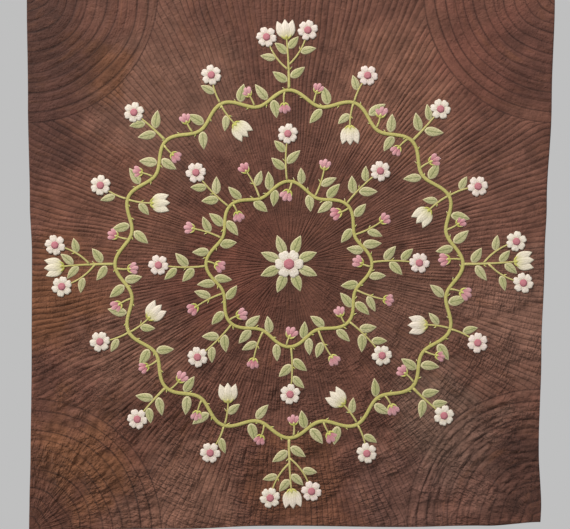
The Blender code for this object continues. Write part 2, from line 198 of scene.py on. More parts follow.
distance = PICTURE_WIDTH_PX * METRES_PER_PX * LENS_MM / SENSOR_MM
camera_data = bpy.data.cameras.new("camera")
camera_data.lens = LENS_MM
camera_data.sensor_width = SENSOR_MM
camera = bpy.data.objects.new("camera", camera_data)
camera.location = (
    (PICTURE_WIDTH_PX / 2 - TOP_MIDDLE_PX.x) * METRES_PER_PX,
    -distance,
    (TOP_MIDDLE_PX.y - PICTURE_HEIGHT_PX / 2) * METRES_PER_PX,
)
camera.rotation_euler = (math.pi / 2, 0.0, 0.0)
bpy.context.scene.collection.objects.link(camera)
bpy.context.scene.camera = camera
print("the camera stands", round(distance, 3), "m from the wall")

# %% [markdown]
# ## Floor and light
# A pale floor lies just under the hem. One soft light stands far off, high on the left: from far off it is
# as bright on the hem as on the top, and its low angle draws the quilting. The pale world fills the
# shadows, and a light behind shows the backing, which the first light never reaches.

# %% The stage
FLOOR_DROP = 1.97
FLOOR_SIZE = 6.0
FLOOR_BEHIND = 0.2
WORLD_COLOUR = (0.84, 0.84, 0.84, 1.0)
WORLD_STRENGTH = 0.62


def plain_material(name, colour, roughness):
    """A plain matt material for the stage."""
    material = bpy.data.materials.new(name)
    material.use_nodes = True
    shader = material.node_tree.nodes["Principled BSDF"]
    shader.inputs["Base Color"].default_value = colour
    shader.inputs["Roughness"].default_value = roughness
    return material


def keep(name, bm, material):
    """Makes the bmesh an object of that name, at the origin."""
    mesh = bpy.data.meshes.new(name)
    bm.to_mesh(mesh)
    bm.free()
    mesh.materials.append(material)
    thing = bpy.data.objects.new(name, mesh)
    bpy.context.scene.collection.objects.link(thing)
    return thing


floor_mesh = bmesh.new()
bmesh.ops.create_grid(floor_mesh, x_segments=1, y_segments=1, size=FLOOR_SIZE / 2)
floor_middle = (0.0, FLOOR_BEHIND - FLOOR_SIZE / 2, -FLOOR_DROP)
bmesh.ops.translate(floor_mesh, verts=floor_mesh.verts[:], vec=floor_middle)
floor = keep("floor", floor_mesh, plain_material("pale floor", (0.30, 0.30, 0.295, 1.0), 0.95))

world = bpy.data.worlds.new("pale world")
world.use_nodes = True
world.node_tree.nodes["Background"].inputs["Color"].default_value = WORLD_COLOUR
world.node_tree.nodes["Background"].inputs["Strength"].default_value = WORLD_STRENGTH
bpy.context.scene.world = world
bpy.context.scene.view_settings.view_transform = "Standard"

LightRow = namedtuple("LightRow", "name place aim size power colour")
LIGHTS = (
    LightRow("key", (-5.5, -5.5, 9.0), (0.0, 0.0, -0.95), 2.0, 3300.0, (1.0, 0.96, 0.91)),
    LightRow("fill", (4.0, -4.5, -0.6), (0.0, 0.0, -0.95), 3.0, 30.0, (0.96, 0.98, 1.0)),
    LightRow("behind", (3.2, 4.6, 2.4), (0.0, 0.0, -0.95), 2.0, 420.0, (1.0, 0.97, 0.94)),
)
for row in LIGHTS:
    light = bpy.data.lights.new(row.name, "AREA")
    light.size = row.size
    light.energy = row.power
    light.color = row.colour
    lamp = bpy.data.objects.new(row.name, light)
    lamp.location = row.place
    lamp.rotation_euler = (Vector(row.aim) - Vector(row.place)).to_track_quat("-Z", "Y").to_euler()
    bpy.context.scene.collection.objects.link(lamp)
print("lights:", [row.name for row in LIGHTS])

# %% [markdown]
# ## The pattern
# What is sewn on the face is planned first as plain data. Two waving rings of stem and eight sprays grow
# twigs, and the twigs carry leaves and end in flowers. Working in this order, the ground can be pressed
# flat under each patch before anything is laid on it.

# %% Stems and what grows from them
REPEATS = 8
UNIT = 2 * math.pi / REPEATS
NECK = 0.0066
TWIG_WIDTH = 0.0078
TIP_WIDTH = 0.0056
SPRAY_NARROWING = 0.8

VineRow = namedtuple("VineRow", "name radius swing waves width")
INNER_VINE = VineRow("vine_inner", 0.270, 0.020, 8, 0.0122)
OUTER_VINE = VineRow("vine_outer", 0.585, 0.024, 16, 0.0132)
Leaf = namedtuple("Leaf", "at side lean length")
Twig = namedtuple("Twig", "at side lean length turn flower sprigs")
Spray = namedtuple("Spray", "start length turn flower sprigs")

MID_TWIG = Twig(
    0.0, -1, 0.10, 0.135, -0.25, "daisy",
    (Leaf(0.28, 1, 0.75, 0.065), Leaf(0.42, -1, 0.75, 0.065), Leaf(0.72, 1, 0.75, 0.058)),
)
BUD_TWIG = Twig(
    0.5, -1, -0.10, 0.100, 0.30, "bud",
    (Leaf(0.40, -1, 0.80, 0.060),),
)
INNER_GROWTH = (
    MID_TWIG,
    Leaf(0.20, 1, 0.30, 0.065),
    Leaf(0.30, -1, -0.20, 0.065),
    BUD_TWIG,
    Leaf(0.62, 1, -0.40, 0.065),
    Leaf(0.77, -1, 0.20, 0.062),
)
OUTER_GROWTH = (
    Leaf(0.11, 1, -0.10, 0.067),
    Leaf(0.15, -1, 0.55, 0.069),
    Leaf(0.36, -1, -0.50, 0.069),
    Twig(
        0.50, -1, 0.12, 0.075, -0.35, "daisy",
        (Leaf(0.50, 1, 0.85, 0.056),),
    ),
    Twig(
        0.50, 1, -0.10, 0.085, 0.30, "tulip",
        (Leaf(0.42, -1, 0.85, 0.056),),
    ),
    Leaf(0.68, -1, 0.50, 0.069),
    Leaf(0.72, 1, 0.50, 0.065),
)
SIDE_LEFT = Twig(0.36, 1, 0.70, 0.110, -0.55, "daisy", (Leaf(0.50, 1, 0.80, 0.056),))
SIDE_RIGHT = Twig(0.46, -1, 0.70, 0.110, 0.55, "daisy", (Leaf(0.50, -1, 0.80, 0.056),))
LONG_SPRAY = Spray(
    0.618, 0.180, 0.10, "tulip",
    (
        Leaf(0.12, 1, 0.60, 0.065), Leaf(0.20, -1, 0.60, 0.065),
        SIDE_LEFT, SIDE_RIGHT,
        Leaf(0.66, 1, 0.80, 0.058), Leaf(0.76, -1, 0.80, 0.058),
    ),
)
SHORT_SPRAY = Spray(
    0.618, 0.115, 0.10, "daisy",
    (Leaf(0.30, 1, 0.60, 0.067), Leaf(0.42, -1, 0.60, 0.067), Leaf(0.74, 1, 0.70, 0.058)),
)
# Bud twigs are too small for the solids, so they are added here
INNER_BUDS = (
    Twig(0.93, 1, 0.15, 0.030, -0.30, "bud", ()),
)
OUTER_BUDS = (
    Twig(0.02, 1, 0.20, 0.040, 0.30, "bud", ()),
    Twig(0.26, -1, 0.10, 0.040, 0.30, "bud", ()),
    Twig(0.79, -1, 0.05, 0.038, -0.30, "bud", ()),
)
print(len(INNER_GROWTH), "growths in each eighth of the inner ring,", len(OUTER_GROWTH), "in the outer")

# %% [markdown]
# A twig is an arc that leaves its parent stem at a lean from square. Its leaves leave it in the same way,
# so one function serves all of them by calling itself. It fills three lists: stem lines, leaves and
# flowers.

# %% Grow a twig
STEM_STEP = 0.007
TUCK = 0.004
StemLine = namedtuple("StemLine", "node points widths closed")
LeafSpot = namedtuple("LeafSpot", "node foot way length")
FlowerSpot = namedtuple("FlowerSpot", "kind foot way")
stem_lines, leaf_spots, flower_spots = [], [], []


def polar(radius, angle):
    """The point of the cloth at that radius and angle round the middle of the design."""
    return CENTRE + radius * Vector((math.cos(angle), math.sin(angle)))


def turned(way, angle):
    """A 2-D direction turned to the left by that angle."""
    cos, sin = math.cos(angle), math.sin(angle)
    return Vector((way.x * cos - way.y * sin, way.x * sin + way.y * cos))


def grow_twig(node, root, way, length, turn, widths, sprigs, tuck):
    """Adds a stem along an arc, and what grows from it. Gives the end and the way there."""
    bend = turn / length

    def middle(s):
        return root + turned(way, bend * s / 2) * math.sin(bend * s / 2) / (bend / 2)

    def width(s):
        return widths[0] + (widths[1] - widths[0]) * s / length

    steps = max(3, round(length / STEM_STEP))
    reached = [length * step / steps for step in range(steps + 1)]
    points = [root - way * tuck] + [middle(s) for s in reached[1:]]
    stem_lines.append(StemLine(node, points, [width(s) for s in reached], False))
    for sprig in sprigs:
        s = sprig.at * length
        heading = turned(way, bend * s)
        across = turned(heading, math.pi / 2) * sprig.side
        out = turned(heading, sprig.side * (math.pi / 2 - sprig.lean))
        grow(node, middle(s) + across * width(s) / 2, out, sprig)
    return middle(length), turned(way, turn)


def grow(node, root, way, sprig):
    """Adds a leaf, or a twig with all that grows from it and its flower."""
    if isinstance(sprig, Leaf):
        leaf_spots.append(LeafSpot(node, root, way, sprig.length))
        return
    widths = (TWIG_WIDTH, TIP_WIDTH)
    end, heading = grow_twig(node, root, way, sprig.length, sprig.turn, widths, sprig.sprigs, TUCK)
    flower_spots.append(FlowerSpot(sprig.flower, end, heading))


print("a twig starts", round(TUCK * 1000, 1), "mm inside its parent stem")

# %% [markdown]
# A ring of stem waves round the middle, and the same few sprigs grow from it eight times over. The sprays
# and the rosette's leaves are set round the middle in the same way. Bud twigs grow from the rings last,
# when the rings themselves are there already.

# %% Grow the rings, the sprays and the rosette's leaves
ROSETTE_LEAF_LENGTH = 0.072
ROSETTE_RING = 0.036


def grow_vine(vine, growth):
    """Adds a ring of stem that waves round the middle, and all that grows from it."""
    circle = 2 * math.pi * vine.radius

    def swung(angle):
        return vine.radius + vine.swing * math.cos(vine.waves * angle)

    count = round(circle / STEM_STEP)
    angles = [2 * math.pi * i / count for i in range(count)]
    points = [polar(swung(angle), angle) for angle in angles]
    stem_lines.append(StemLine(vine.name, points, [vine.width] * count, True))
    for repeat in range(REPEATS):
        for sprig in growth:
            share = ((repeat + sprig.at) / REPEATS) % 1.0 + NECK / circle
            angle = 2 * math.pi * share
            outward = turned(Vector((1.0, 0.0)), angle)
            root = polar(swung(angle) - sprig.side * vine.width / 2, angle)
            grow(vine.name, root, turned(outward * -sprig.side, -sprig.side * sprig.lean), sprig)


def grow_spray(number, spray):
    """Adds a spray that grows straight out from the outer ring."""
    way = turned(Vector((1.0, 0.0)), UNIT * number)
    widths = (OUTER_VINE.width * SPRAY_NARROWING, TIP_WIDTH)
    node = f"spray_{number + 1}"
    root = polar(spray.start, UNIT * number)
    end, heading = grow_twig(node, root, way, spray.length, spray.turn, widths, spray.sprigs, 2 * TUCK)
    flower_spots.append(FlowerSpot(spray.flower, end, heading))


grow_vine(INNER_VINE, INNER_GROWTH)
grow_vine(OUTER_VINE, OUTER_GROWTH)
for number in range(REPEATS):
    grow_spray(number, SHORT_SPRAY if number % 2 else LONG_SPRAY)
for number in range(REPEATS):
    angle = UNIT * (number + 0.5)
    way = turned(Vector((1.0, 0.0)), angle)
    leaf_spots.append(LeafSpot("rosette_leaves", polar(ROSETTE_RING, angle), way, ROSETTE_LEAF_LENGTH))
for vine, buds in ((INNER_VINE, INNER_BUDS), (OUTER_VINE, OUTER_BUDS)):
    second_ring = len(stem_lines)
    grow_vine(vine, buds)
    stem_lines.pop(second_ring)
print(len(stem_lines), "stems,", len(leaf_spots), "leaves and", len(flower_spots), "flowers and buds")

# %% [markdown]
# ## Cloth patches
# Every patch starts as a flat disc: a small circle with a pole, whose rim is extruded outwards ring by
# ring. The disc is then mapped to a leaf, a petal or a flower, and raised a little, because a turned-under
# edge and the seam allowance inside it make a sewn-on patch stand up from its ground like a thin cushion.
# While it is flat, a patch keeps its height as -y.

# %% A disc, ring by ring
def new_ring(bm, rim):
    """Extrudes a rim of edges and gives the new vertices and the new rim."""
    made = bmesh.ops.extrude_edge_only(bm, edges=rim)["geom"]
    verts = [v for v in made if isinstance(v, bmesh.types.BMVert)]
    fresh = set(verts)
    rim = [e for e in made if isinstance(e, bmesh.types.BMEdge) and fresh.issuperset(e.verts)]
    return verts, rim


def disc(bm, segments, radii):
    """A flat disc about the origin in the XY plane, with a pole and rings at those radii."""
    verts = bmesh.ops.create_circle(
        bm, cap_ends=True, cap_tris=True, segments=segments, radius=radii[0]
    )["verts"]
    rim = list({e for v in verts for e in v.link_edges if e.is_boundary})
    for inner, outer in zip(radii, radii[1:]):
        ring, rim = new_ring(bm, rim)
        bmesh.ops.scale(bm, vec=(outer / inner, outer / inner, 1.0), verts=ring)
        verts = verts + ring
    return verts, rim


def cap(bm, rim):
    """Closes the underside of a patch."""
    bmesh.ops.contextual_create(bm, geom=rim)


trial = bmesh.new()
disc(trial, 6, (0.5, 1.0))
print("a disc of 6 segments and 2 rings has", len(trial.verts), "points")
trial.free()

# %% [markdown]
# All patches share two things. Their height falls from a crown in the middle to a turned-under edge, which
# sinks a little way into the ground. And each point keeps four numbers for the materials: how far up the
# patch it is, how far across, how far out, and a tone that makes one patch paler than the next.

# %% Height and marks of a patch
PATCH_EDGE = 0.0010
PATCH_SINK = 0.0004
SAME_RING = 0.001
PATCH_MARKS = ("up", "across", "out", "tone")


def patch_height(out, rim_start, crown):
    """The height of a patch at that share of the way from its middle to its edge."""
    if out > rim_start + SAME_RING:
        return -PATCH_SINK
    return PATCH_EDGE + crown * (1 - (out / rim_start) ** 2)


def marked_mesh(names=PATCH_MARKS):
    """A new mesh with room for those marks on its vertices."""
    bm = bmesh.new()
    for name in names:
        bm.verts.layers.float.new(name)
    return bm


def set_marks(bm, vert, up=0.0, across=0.0, out=0.0, tone=0.0):
    """Keeps four numbers on a vertex, for the materials to read."""
    for name, value in zip(PATCH_MARKS, (up, across, out, tone)):
        vert[bm.verts.layers.float[name]] = value


print("each point of a patch keeps", PATCH_MARKS)

# %% [markdown]
# A leaf is a pointed oval, widest a little below its middle. The points on its long axis lie lower than the
# rest: that is the midrib, a crease that the needle leaves. Each leaf is a little longer, wider or more
# bent than the next, from a seeded draw.

# %% Leaves
LEAF_SEGMENTS = 20
LEAF_RINGS = (0.42, 0.78, 0.93, 1.00)
LEAF_HALF_WIDTH = 0.25
Shape = namedtuple("Shape", "foot tip")
LEAF_SHAPE = Shape(0.62, 1.0)
PETAL_SHAPE = Shape(0.90, 0.50)
SEPAL_SHAPE = Shape(0.55, 1.30)
SMALL_SEGMENTS = 12
SMALL_RINGS = (0.55, 0.88, 1.00)
LEAF_CROWN = 0.0016
MIDRIB_DIP = 0.0006
LEAF_JITTER = 0.05
LEAF_BEND = 0.035
draw = random.Random(11)


def half_breadth(shape, share):
    """How wide a leaf is there, 1 at its widest place. share is 0 at the foot and 1 at the tip."""
    widest = shape.foot / (shape.foot + shape.tip)
    most = widest**shape.foot * (1 - widest) ** shape.tip
    return share**shape.foot * (1 - share) ** shape.tip / most


def add_leaf(bm, foot, way, size, tone, shape=LEAF_SHAPE, bend=None, small=False):
    """A leaf-shaped patch. size is its length, half width and crown, and bend its bow by its length."""
    length, half_width, crown = size
    rings = SMALL_RINGS if small else LEAF_RINGS
    verts, rim = disc(bm, SMALL_SEGMENTS if small else LEAF_SEGMENTS, rings)
    left = turned(way, math.pi / 2)
    bend = LEAF_BEND * draw.uniform(-1, 1) if bend is None else bend
    for vert in verts:
        x, y = vert.co.x, vert.co.y
        out = math.hypot(x, y)
        rim_share = min(1.0, max(0.0, 0.5 + x / max(out, 1e-6) / 2))
        across = 0.0
        if abs(y) > 1e-6:
            across = math.copysign(out, y) * half_breadth(shape, rim_share)
        up = 0.5 + x / 2
        bow = bend * length * 4 * (up - 1) * up
        spot = foot + way * up * length + left * (across * half_width + bow)
        height = patch_height(out, rings[-2], crown)
        if abs(y) < 1e-6 and out < rings[-2] + SAME_RING:
            height -= MIDRIB_DIP
        vert.co = (spot.x, -height, spot.y)
        set_marks(bm, vert, up, across, out, tone)
    cap(bm, rim)


leaf_meshes = {}
for spot in leaf_spots:
    if spot.node not in leaf_meshes:
        leaf_meshes[spot.node] = marked_mesh()
    length = spot.length * (1 + LEAF_JITTER * draw.uniform(-1, 1))
    half_width = LEAF_HALF_WIDTH * spot.length * (1 + LEAF_JITTER * draw.uniform(-1, 1))
    add_leaf(leaf_meshes[spot.node], spot.foot, spot.way, (length, half_width, LEAF_CROWN), draw.random())
print("leaves on", sorted(leaf_meshes))

# %% [markdown]
# A stem is a strip of cloth with both edges turned under. One low arched section is laid across the start
# of its line and extruded from point to point, which is what Blender's Extrude does by hand. A ring of stem
# is closed by bridging its last section to its first.

# %% Stems
SectionRow = namedtuple("SectionRow", "across height")
STEM_SECTION = (
    SectionRow(-0.50, -0.20),
    SectionRow(-0.42, 0.60),
    SectionRow(-0.18, 0.95),
    SectionRow(0.18, 0.95),
    SectionRow(0.42, 0.60),
    SectionRow(0.50, -0.20),
)
STEM_HEIGHT = 0.0021
TWIG_HEIGHT = 0.0017
HAND_CUT = 0.07
CUTS_PER_METRE = 30.0
TWIG_PALER = 0.6
TONE_SPREAD = 0.4


def lay_section(verts, spot, heading, width, height):
    """Puts a section's points across the stem at that spot."""
    left = turned(heading, math.pi / 2)
    for vert, row in zip(verts, STEM_SECTION):
        place = spot + left * row.across * width
        vert.co = (place.x, -row.height * height, place.y)


def add_stem(bm, line, height):
    """A strip of cloth along that line."""
    tone = (0.0 if line.closed else TWIG_PALER) + TONE_SPREAD * draw.random()
    points, count = line.points, len(line.points)
    verts = [bm.verts.new() for _ in STEM_SECTION]
    edges = [bm.edges.new((a, b)) for a, b in zip(verts, verts[1:] + verts[:1])]
    first_edges = edges
    gone = 0.0
    for i, (spot, width) in enumerate(zip(points, line.widths)):
        before = points[i - 1] if i or line.closed else spot
        after = points[(i + 1) % count] if i + 1 < count or line.closed else spot
        if i:
            gone += (spot - points[i - 1]).length
            made = bmesh.ops.extrude_edge_only(bm, edges=edges)["geom"]
            fresh = {v for v in made if isinstance(v, bmesh.types.BMVert)}
            edges = [e for e in made if isinstance(e, bmesh.types.BMEdge) and fresh.issuperset(e.verts)]
            verts = [next(e.other_vert(v) for e in v.link_edges if e.other_vert(v) in fresh) for v in verts]
        cut = 1 + HAND_CUT * noise.noise(Vector((spot.x, tone, spot.y)) * CUTS_PER_METRE)
        lay_section(verts, spot, (after - before).normalized(), width * cut, height)
        for vert, row in zip(verts, STEM_SECTION):
            set_marks(bm, vert, gone, row.across, abs(row.across) * 2, tone)
    if line.closed:
        bmesh.ops.bridge_loops(bm, edges=edges + first_edges)
    else:
        bmesh.ops.contextual_create(bm, geom=edges)
        bmesh.ops.contextual_create(bm, geom=first_edges)


stem_meshes = {}
for line in stem_lines:
    if line.node not in stem_meshes:
        stem_meshes[line.node] = marked_mesh()
    add_stem(stem_meshes[line.node], line, STEM_HEIGHT if line.closed else TWIG_HEIGHT)
print("stems on", sorted(stem_meshes))

# %% [markdown]
# A daisy is one disc too. Its rim runs in and out in six rounded petals, each petal is domed, and the
# points between petals stay low, where the maker's stitches hold them down.

# %% Petals of a daisy
DAISY_RADIUS = 0.037
DAISY_PETALS = 6
PETAL_COLUMNS = 8
DAISY_RINGS = (0.24, 0.45, 0.68, 0.86, 0.95, 1.00)
PETAL_NOTCH = 0.30
TIP_NOTCH = 0.07
PETAL_DOME = 0.0021
PETAL_VALLEY = 0.45
DOME_STOP = 0.97
DOME_FULLNESS = 0.7
ON_RIM = 0.99
RUFFLE = 0.03
RUFFLE_WAVES = 5
RUFFLE_SHIFT = 40


def petal_height(out, offside):
    """The height of a flower at that share of its radius and of the way from mid-petal to the gap."""
    if out > ON_RIM:
        return -PATCH_SINK
    dome = PETAL_DOME * (1 - PETAL_VALLEY * offside**2)
    return PATCH_EDGE + dome * math.sin(math.pi * min(out, DOME_STOP)) ** DOME_FULLNESS


def add_daisy(bm, middle, way, radius):
    """A six-petalled flower patch."""
    verts, rim = disc(bm, DAISY_PETALS * PETAL_COLUMNS, DAISY_RINGS)
    start = math.atan2(way.y, way.x)
    tone = draw.random()
    for vert in verts:
        out, angle = math.hypot(vert.co.x, vert.co.y), math.atan2(vert.co.y, vert.co.x)
        petal = angle / (2 * math.pi / DAISY_PETALS)
        offside = 2 * abs(petal - round(petal))
        reach = 1 - PETAL_NOTCH * offside**3 * out - TIP_NOTCH * max(0.0, 1 - 3 * offside) * out**3
        ruffle = 1 + RUFFLE * math.sin(RUFFLE_WAVES * angle + RUFFLE_SHIFT * tone) * out
        spot = middle + radius * out * reach * ruffle * turned(Vector((1.0, 0.0)), angle + start)
        vert.co = (spot.x, -petal_height(out, offside), spot.y)
        set_marks(bm, vert, out, offside, out, tone)
    cap(bm, rim)


print("a daisy has", DAISY_PETALS, "petals")

# %% [markdown]
# A rose heart sits in the middle of each daisy, with a ring of thread knots round it, two to a petal. Each
# knot is worked down into the cloth a little way.

# %% Hearts and knots
HEART_SHARE = 0.38
HEART_SEGMENTS = 12
HEART_RINGS = (0.50, 0.85, 1.00)
HEART_CROWN = 0.0016
HEART_LEVEL = 0.0026
KNOT_COUNT = 12
KNOT_RADIUS = 0.0014
KNOT_SINK = 0.0005
KNOT_RING = 0.46


def add_heart(bm, middle, radius, level):
    """The domed round patch in the middle of a flower."""
    verts, rim = disc(bm, HEART_SEGMENTS, HEART_RINGS)
    for vert in verts:
        out = math.hypot(vert.co.x, vert.co.y)
        height = level + (HEART_CROWN * (1 - out**2) + PATCH_EDGE if out < ON_RIM else -PATCH_SINK)
        vert.co = (middle.x + vert.co.x * radius, -height, middle.y + vert.co.y * radius)
        set_marks(bm, vert, out=out)
    cap(bm, rim)


def add_knots(bm, middle, way, radius):
    """A ring of thread knots round a flower's heart, two to a petal."""
    level = petal_height(KNOT_RING, DAISY_PETALS / KNOT_COUNT) - KNOT_SINK
    for number in range(KNOT_COUNT):
        spot = middle + KNOT_RING * radius * turned(way, 2 * math.pi * (number + 0.5) / KNOT_COUNT)
        made = bmesh.ops.create_icosphere(bm, subdivisions=1, radius=KNOT_RADIUS)
        bmesh.ops.translate(bm, verts=made["verts"], vec=(spot.x, -level, spot.y))


print("a flower has", KNOT_COUNT, "knots round its heart")

# %% [markdown]
# A stem's end is tucked under its flower, so a daisy's middle sits a little way past it. The rosette in the
# middle of the quilt is a larger daisy. The last line tells how well the flowers agree with their solids.

# %% Place the daisies and the rosette
DAISY_SEAT = 0.7
ROSETTE_RADIUS = 0.052
Bloom = namedtuple("Bloom", "node middle way radius")


def box_middle(node):
    """The middle of a node's box, as a place on the wall."""
    low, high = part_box(node)
    return ((Vector(low) + Vector(high)) / 2).xz


blooms = []
daisies = [spot for spot in flower_spots if spot.kind == "daisy"]
for number, spot in enumerate(daisies, start=1):
    middle = spot.foot + spot.way * DAISY_RADIUS * DAISY_SEAT
    blooms.append(Bloom(f"daisy_{number:02d}", middle, spot.way, DAISY_RADIUS))
blooms.append(Bloom("rosette", CENTRE, Vector((1.0, 0.0)), ROSETTE_RADIUS))

hearts, knots = marked_mesh(), bmesh.new()
daisy_meshes = {}
for bloom in blooms:
    daisy_meshes[bloom.node] = marked_mesh()
    add_daisy(daisy_meshes[bloom.node], bloom.middle, bloom.way, bloom.radius)
    add_heart(hearts, bloom.middle, HEART_SHARE * bloom.radius, HEART_LEVEL)
    add_knots(knots, bloom.middle, bloom.way, bloom.radius)
off = [(box_middle(bloom.node) - bloom.middle).length for bloom in blooms]
print("daisies are within", round(max(off) * 1000, 1), "mm of their solids")

# %% [markdown]
# A tulip is three petals on one foot, the middle one on top. A bud is the same thing small and pink, with
# blunt petals that flare. Both have three sepals at the foot: a short one, and a long one on either side
# that curls away.

# %% Tulips and buds
TULIP_FOOT = 0.006
TULIP_CALYX = 1.15
BUD_SIZES = (0.92, 1.12)
SMALL_UNDER = 0.05
PetalRow = namedtuple("PetalRow", "turn length width crown bend shape")
TULIP_PETALS = (
    PetalRow(-0.42, 0.068, 0.0185, 0.0016, -0.05, LEAF_SHAPE),
    PetalRow(0.42, 0.068, 0.0185, 0.0016, 0.05, LEAF_SHAPE),
    PetalRow(0.00, 0.066, 0.0190, 0.0030, 0.0, LEAF_SHAPE),
)
BUD_PETALS = (
    PetalRow(-0.55, 0.034, 0.0085, 0.0014, -0.06, PETAL_SHAPE),
    PetalRow(0.55, 0.034, 0.0085, 0.0014, 0.06, PETAL_SHAPE),
    PetalRow(0.00, 0.036, 0.0090, 0.0024, 0.0, PETAL_SHAPE),
)
CALYX_POINTS = (
    PetalRow(-0.62, 0.031, 0.0036, 0.0024, -0.16, SEPAL_SHAPE),
    PetalRow(0.62, 0.031, 0.0036, 0.0024, 0.16, SEPAL_SHAPE),
    PetalRow(0.00, 0.020, 0.0062, 0.0032, 0.0, SEPAL_SHAPE),
)


def add_petals(bm, foot, way, rows, size):
    """A fan of petals or sepals on one foot."""
    tone = draw.random()
    for row in rows:
        cut = (row.length * size, row.width * size, row.crown)
        add_leaf(bm, foot, turned(way, row.turn), cut, tone, row.shape, -row.bend, row.length < SMALL_UNDER)


tulip_meshes = {}
buds, sepals = marked_mesh(), marked_mesh()
tulips = [spot for spot in flower_spots if spot.kind == "tulip"]
for number, spot in enumerate(tulips, start=1):
    node = f"tulip_{number:02d}"
    tulip_meshes[node] = marked_mesh()
    add_petals(tulip_meshes[node], spot.foot - spot.way * TULIP_FOOT, spot.way, TULIP_PETALS, 1.0)
    add_petals(sepals, spot.foot - spot.way * TULIP_FOOT * 2, spot.way, CALYX_POINTS, TULIP_CALYX)
for spot in flower_spots:
    if spot.kind == "bud":
        size = draw.uniform(*BUD_SIZES)
        add_petals(buds, spot.foot, spot.way, BUD_PETALS, size)
        add_petals(sepals, spot.foot - spot.way * TULIP_FOOT, spot.way, CALYX_POINTS, size)
print(len(tulips), "tulips")

# %% [markdown]
# Thorns are leaf-shaped slivers of folded cloth, tucked under the edge of the stem on alternate sides. They
# go on last, because each looks for a clear place first: its tip must not touch a leaf, a flower or another
# stem.

# %% Thorns
THORN_EVERY = 0.055
THORN_LENGTH = 0.015
THORN_HALF_WIDTH = 0.0023
THORN_CROWN = 0.0012
THORN_TURN = 0.75
CLEAR_OF_LEAF = 0.022
CLEAR_OF_STEM = 0.011
CLEAR_OF_FLOWER = 0.046
FLOWER_MIDDLE = 0.02
THORN_ROOT = 0.32
THORN_SIZES = (0.8, 1.15)
THORN_GAPS = (0.8, 1.3)


def in_the_clear(line, tip):
    """Whether a thorn's tip stays clear of all leaves, flowers and other stems."""
    for spot in leaf_spots:
        along = min(spot.length, max(0.0, (tip - spot.foot).dot(spot.way)))
        if (tip - spot.foot - spot.way * along).length < CLEAR_OF_LEAF:
            return False
    middles = (spot.foot + spot.way * FLOWER_MIDDLE for spot in flower_spots)
    if any((tip - middle).length < CLEAR_OF_FLOWER for middle in middles):
        return False
    others = (point for other in stem_lines if other is not line for point in other.points)
    return all((tip - point).length > CLEAR_OF_STEM for point in others)


def thorns_along(line):
    """Adds thorns along a stem and gives how many found room."""
    run, due, side, added = 0.0, THORN_EVERY / 2, 1, 0
    for before, spot, width in zip(line.points, line.points[1:], line.widths):
        run += (spot - before).length
        heading = (spot - before).normalized()
        for aside in (side, -side):
            foot = spot + turned(heading, aside * math.pi / 2) * width * THORN_ROOT
            way = turned(heading, aside * THORN_TURN)
            if run < due or not in_the_clear(line, foot + way * THORN_LENGTH):
                continue
            cut = (THORN_LENGTH * draw.uniform(*THORN_SIZES), THORN_HALF_WIDTH, THORN_CROWN)
            add_leaf(sepals, foot, way, cut, draw.random(), SEPAL_SHAPE, 0.0, True)
            due = run + THORN_EVERY * draw.uniform(*THORN_GAPS)
            side, added = -aside, added + 1
            break
    return added


print(sum(thorns_along(line) for line in stem_lines), "thorns")

# %% [markdown]
# ## The ground
# Sewn lines ray out from the middle. They start a few millimetres apart and drift to 20, so their number
# doubles twice on the way. The face is a disc with six columns of points for each ray: one on the sewn
# line, one on the full crest and two on each flank. Where the rays double, the rim's edges are subdivided
# once and the disc goes on with twice as many columns. The four corners hold fans of arcs, made as pieces
# of their own that meet the rays at a sewn line.
#
# A patch is sewn through to the batting all round, so the ground under it is pressed flat. A tree of all
# the patches' points tells how near the nearest patch is.

# %% Where the ground is pressed flat
PRESS_REACH = 0.0045
PRESS_FADE = 0.0060
patch_bmeshes = [*leaf_meshes.values(), *stem_meshes.values(), *daisy_meshes.values()]
patch_bmeshes += [*tulip_meshes.values(), buds, sepals]
footprint = [(v.co.x, 0.0, v.co.z) for bm in patch_bmeshes for v in bm.verts]
patch_points = KDTree(len(footprint))
for index, point in enumerate(footprint):
    patch_points.insert(point, index)
patch_points.balance()


def pressed(x, z):
    """1 under a patch, 0 away from all of them."""
    _, _, away = patch_points.find((x, 0.0, z))
    return 1 - smooth((away - PRESS_REACH) / PRESS_FADE)


print(len(footprint), "points mark where patches lie")

# %% [markdown]
# Between two sewn lines the cloth puffs up, but no channel is as full all the way along: the batting has
# thin places, and the maker's lines wander. Low down, where the quilt was folded and carried, it is
# crumpled as well. Each of these is one small function, and `face_level` adds them up.

# %% Puff of the channels
SEWN_LOFT = 0.0030
FULL_LOFT = 0.0060
EDGE_LEVEL = 0.0015
EDGE_ROLL = 0.0080
PAD_LEVEL = 0.0044
BACK_DIP = 0.0011
FULL_PITCH = 0.0125
ROUNDNESS = 0.75
WANDER = 0.62
WANDER_RAYS = 5.0
WANDER_RUN = 0.18
WANDER_SEED = 3.0
SLACK = 0.62
SLACK_RAYS = 2.5
SLACK_RUN = 0.10
SLACK_CONTRAST = 1.1
FAN_FIRST = 0.075
FAN_PITCH = 0.0350
FAN_REACH = 0.460
FAN_START = FAN_FIRST % FAN_PITCH
ZoneRow = namedtuple("ZoneRow", "start rays rings")
ZONES = (
    ZoneRow(0.020, 72, 8),
    ZoneRow(0.155, 144, 12),
    ZoneRow(0.360, 288, 44),
)
ZONE_BLEND = 0.030
CORNERS = (
    Vector((SIDES[0].left, 0.0)),
    Vector((SIDES[0].right, 0.0)),
    Vector((HEM[0].x, -HEM[0].drop)),
    Vector((HEM[-1].x, -HEM[-1].drop)),
)


def channel(phase):
    """The puff of the cloth between two sewn lines: 0 on a line, 1 half-way."""
    return abs(math.sin(math.pi * phase)) ** ROUNDNESS


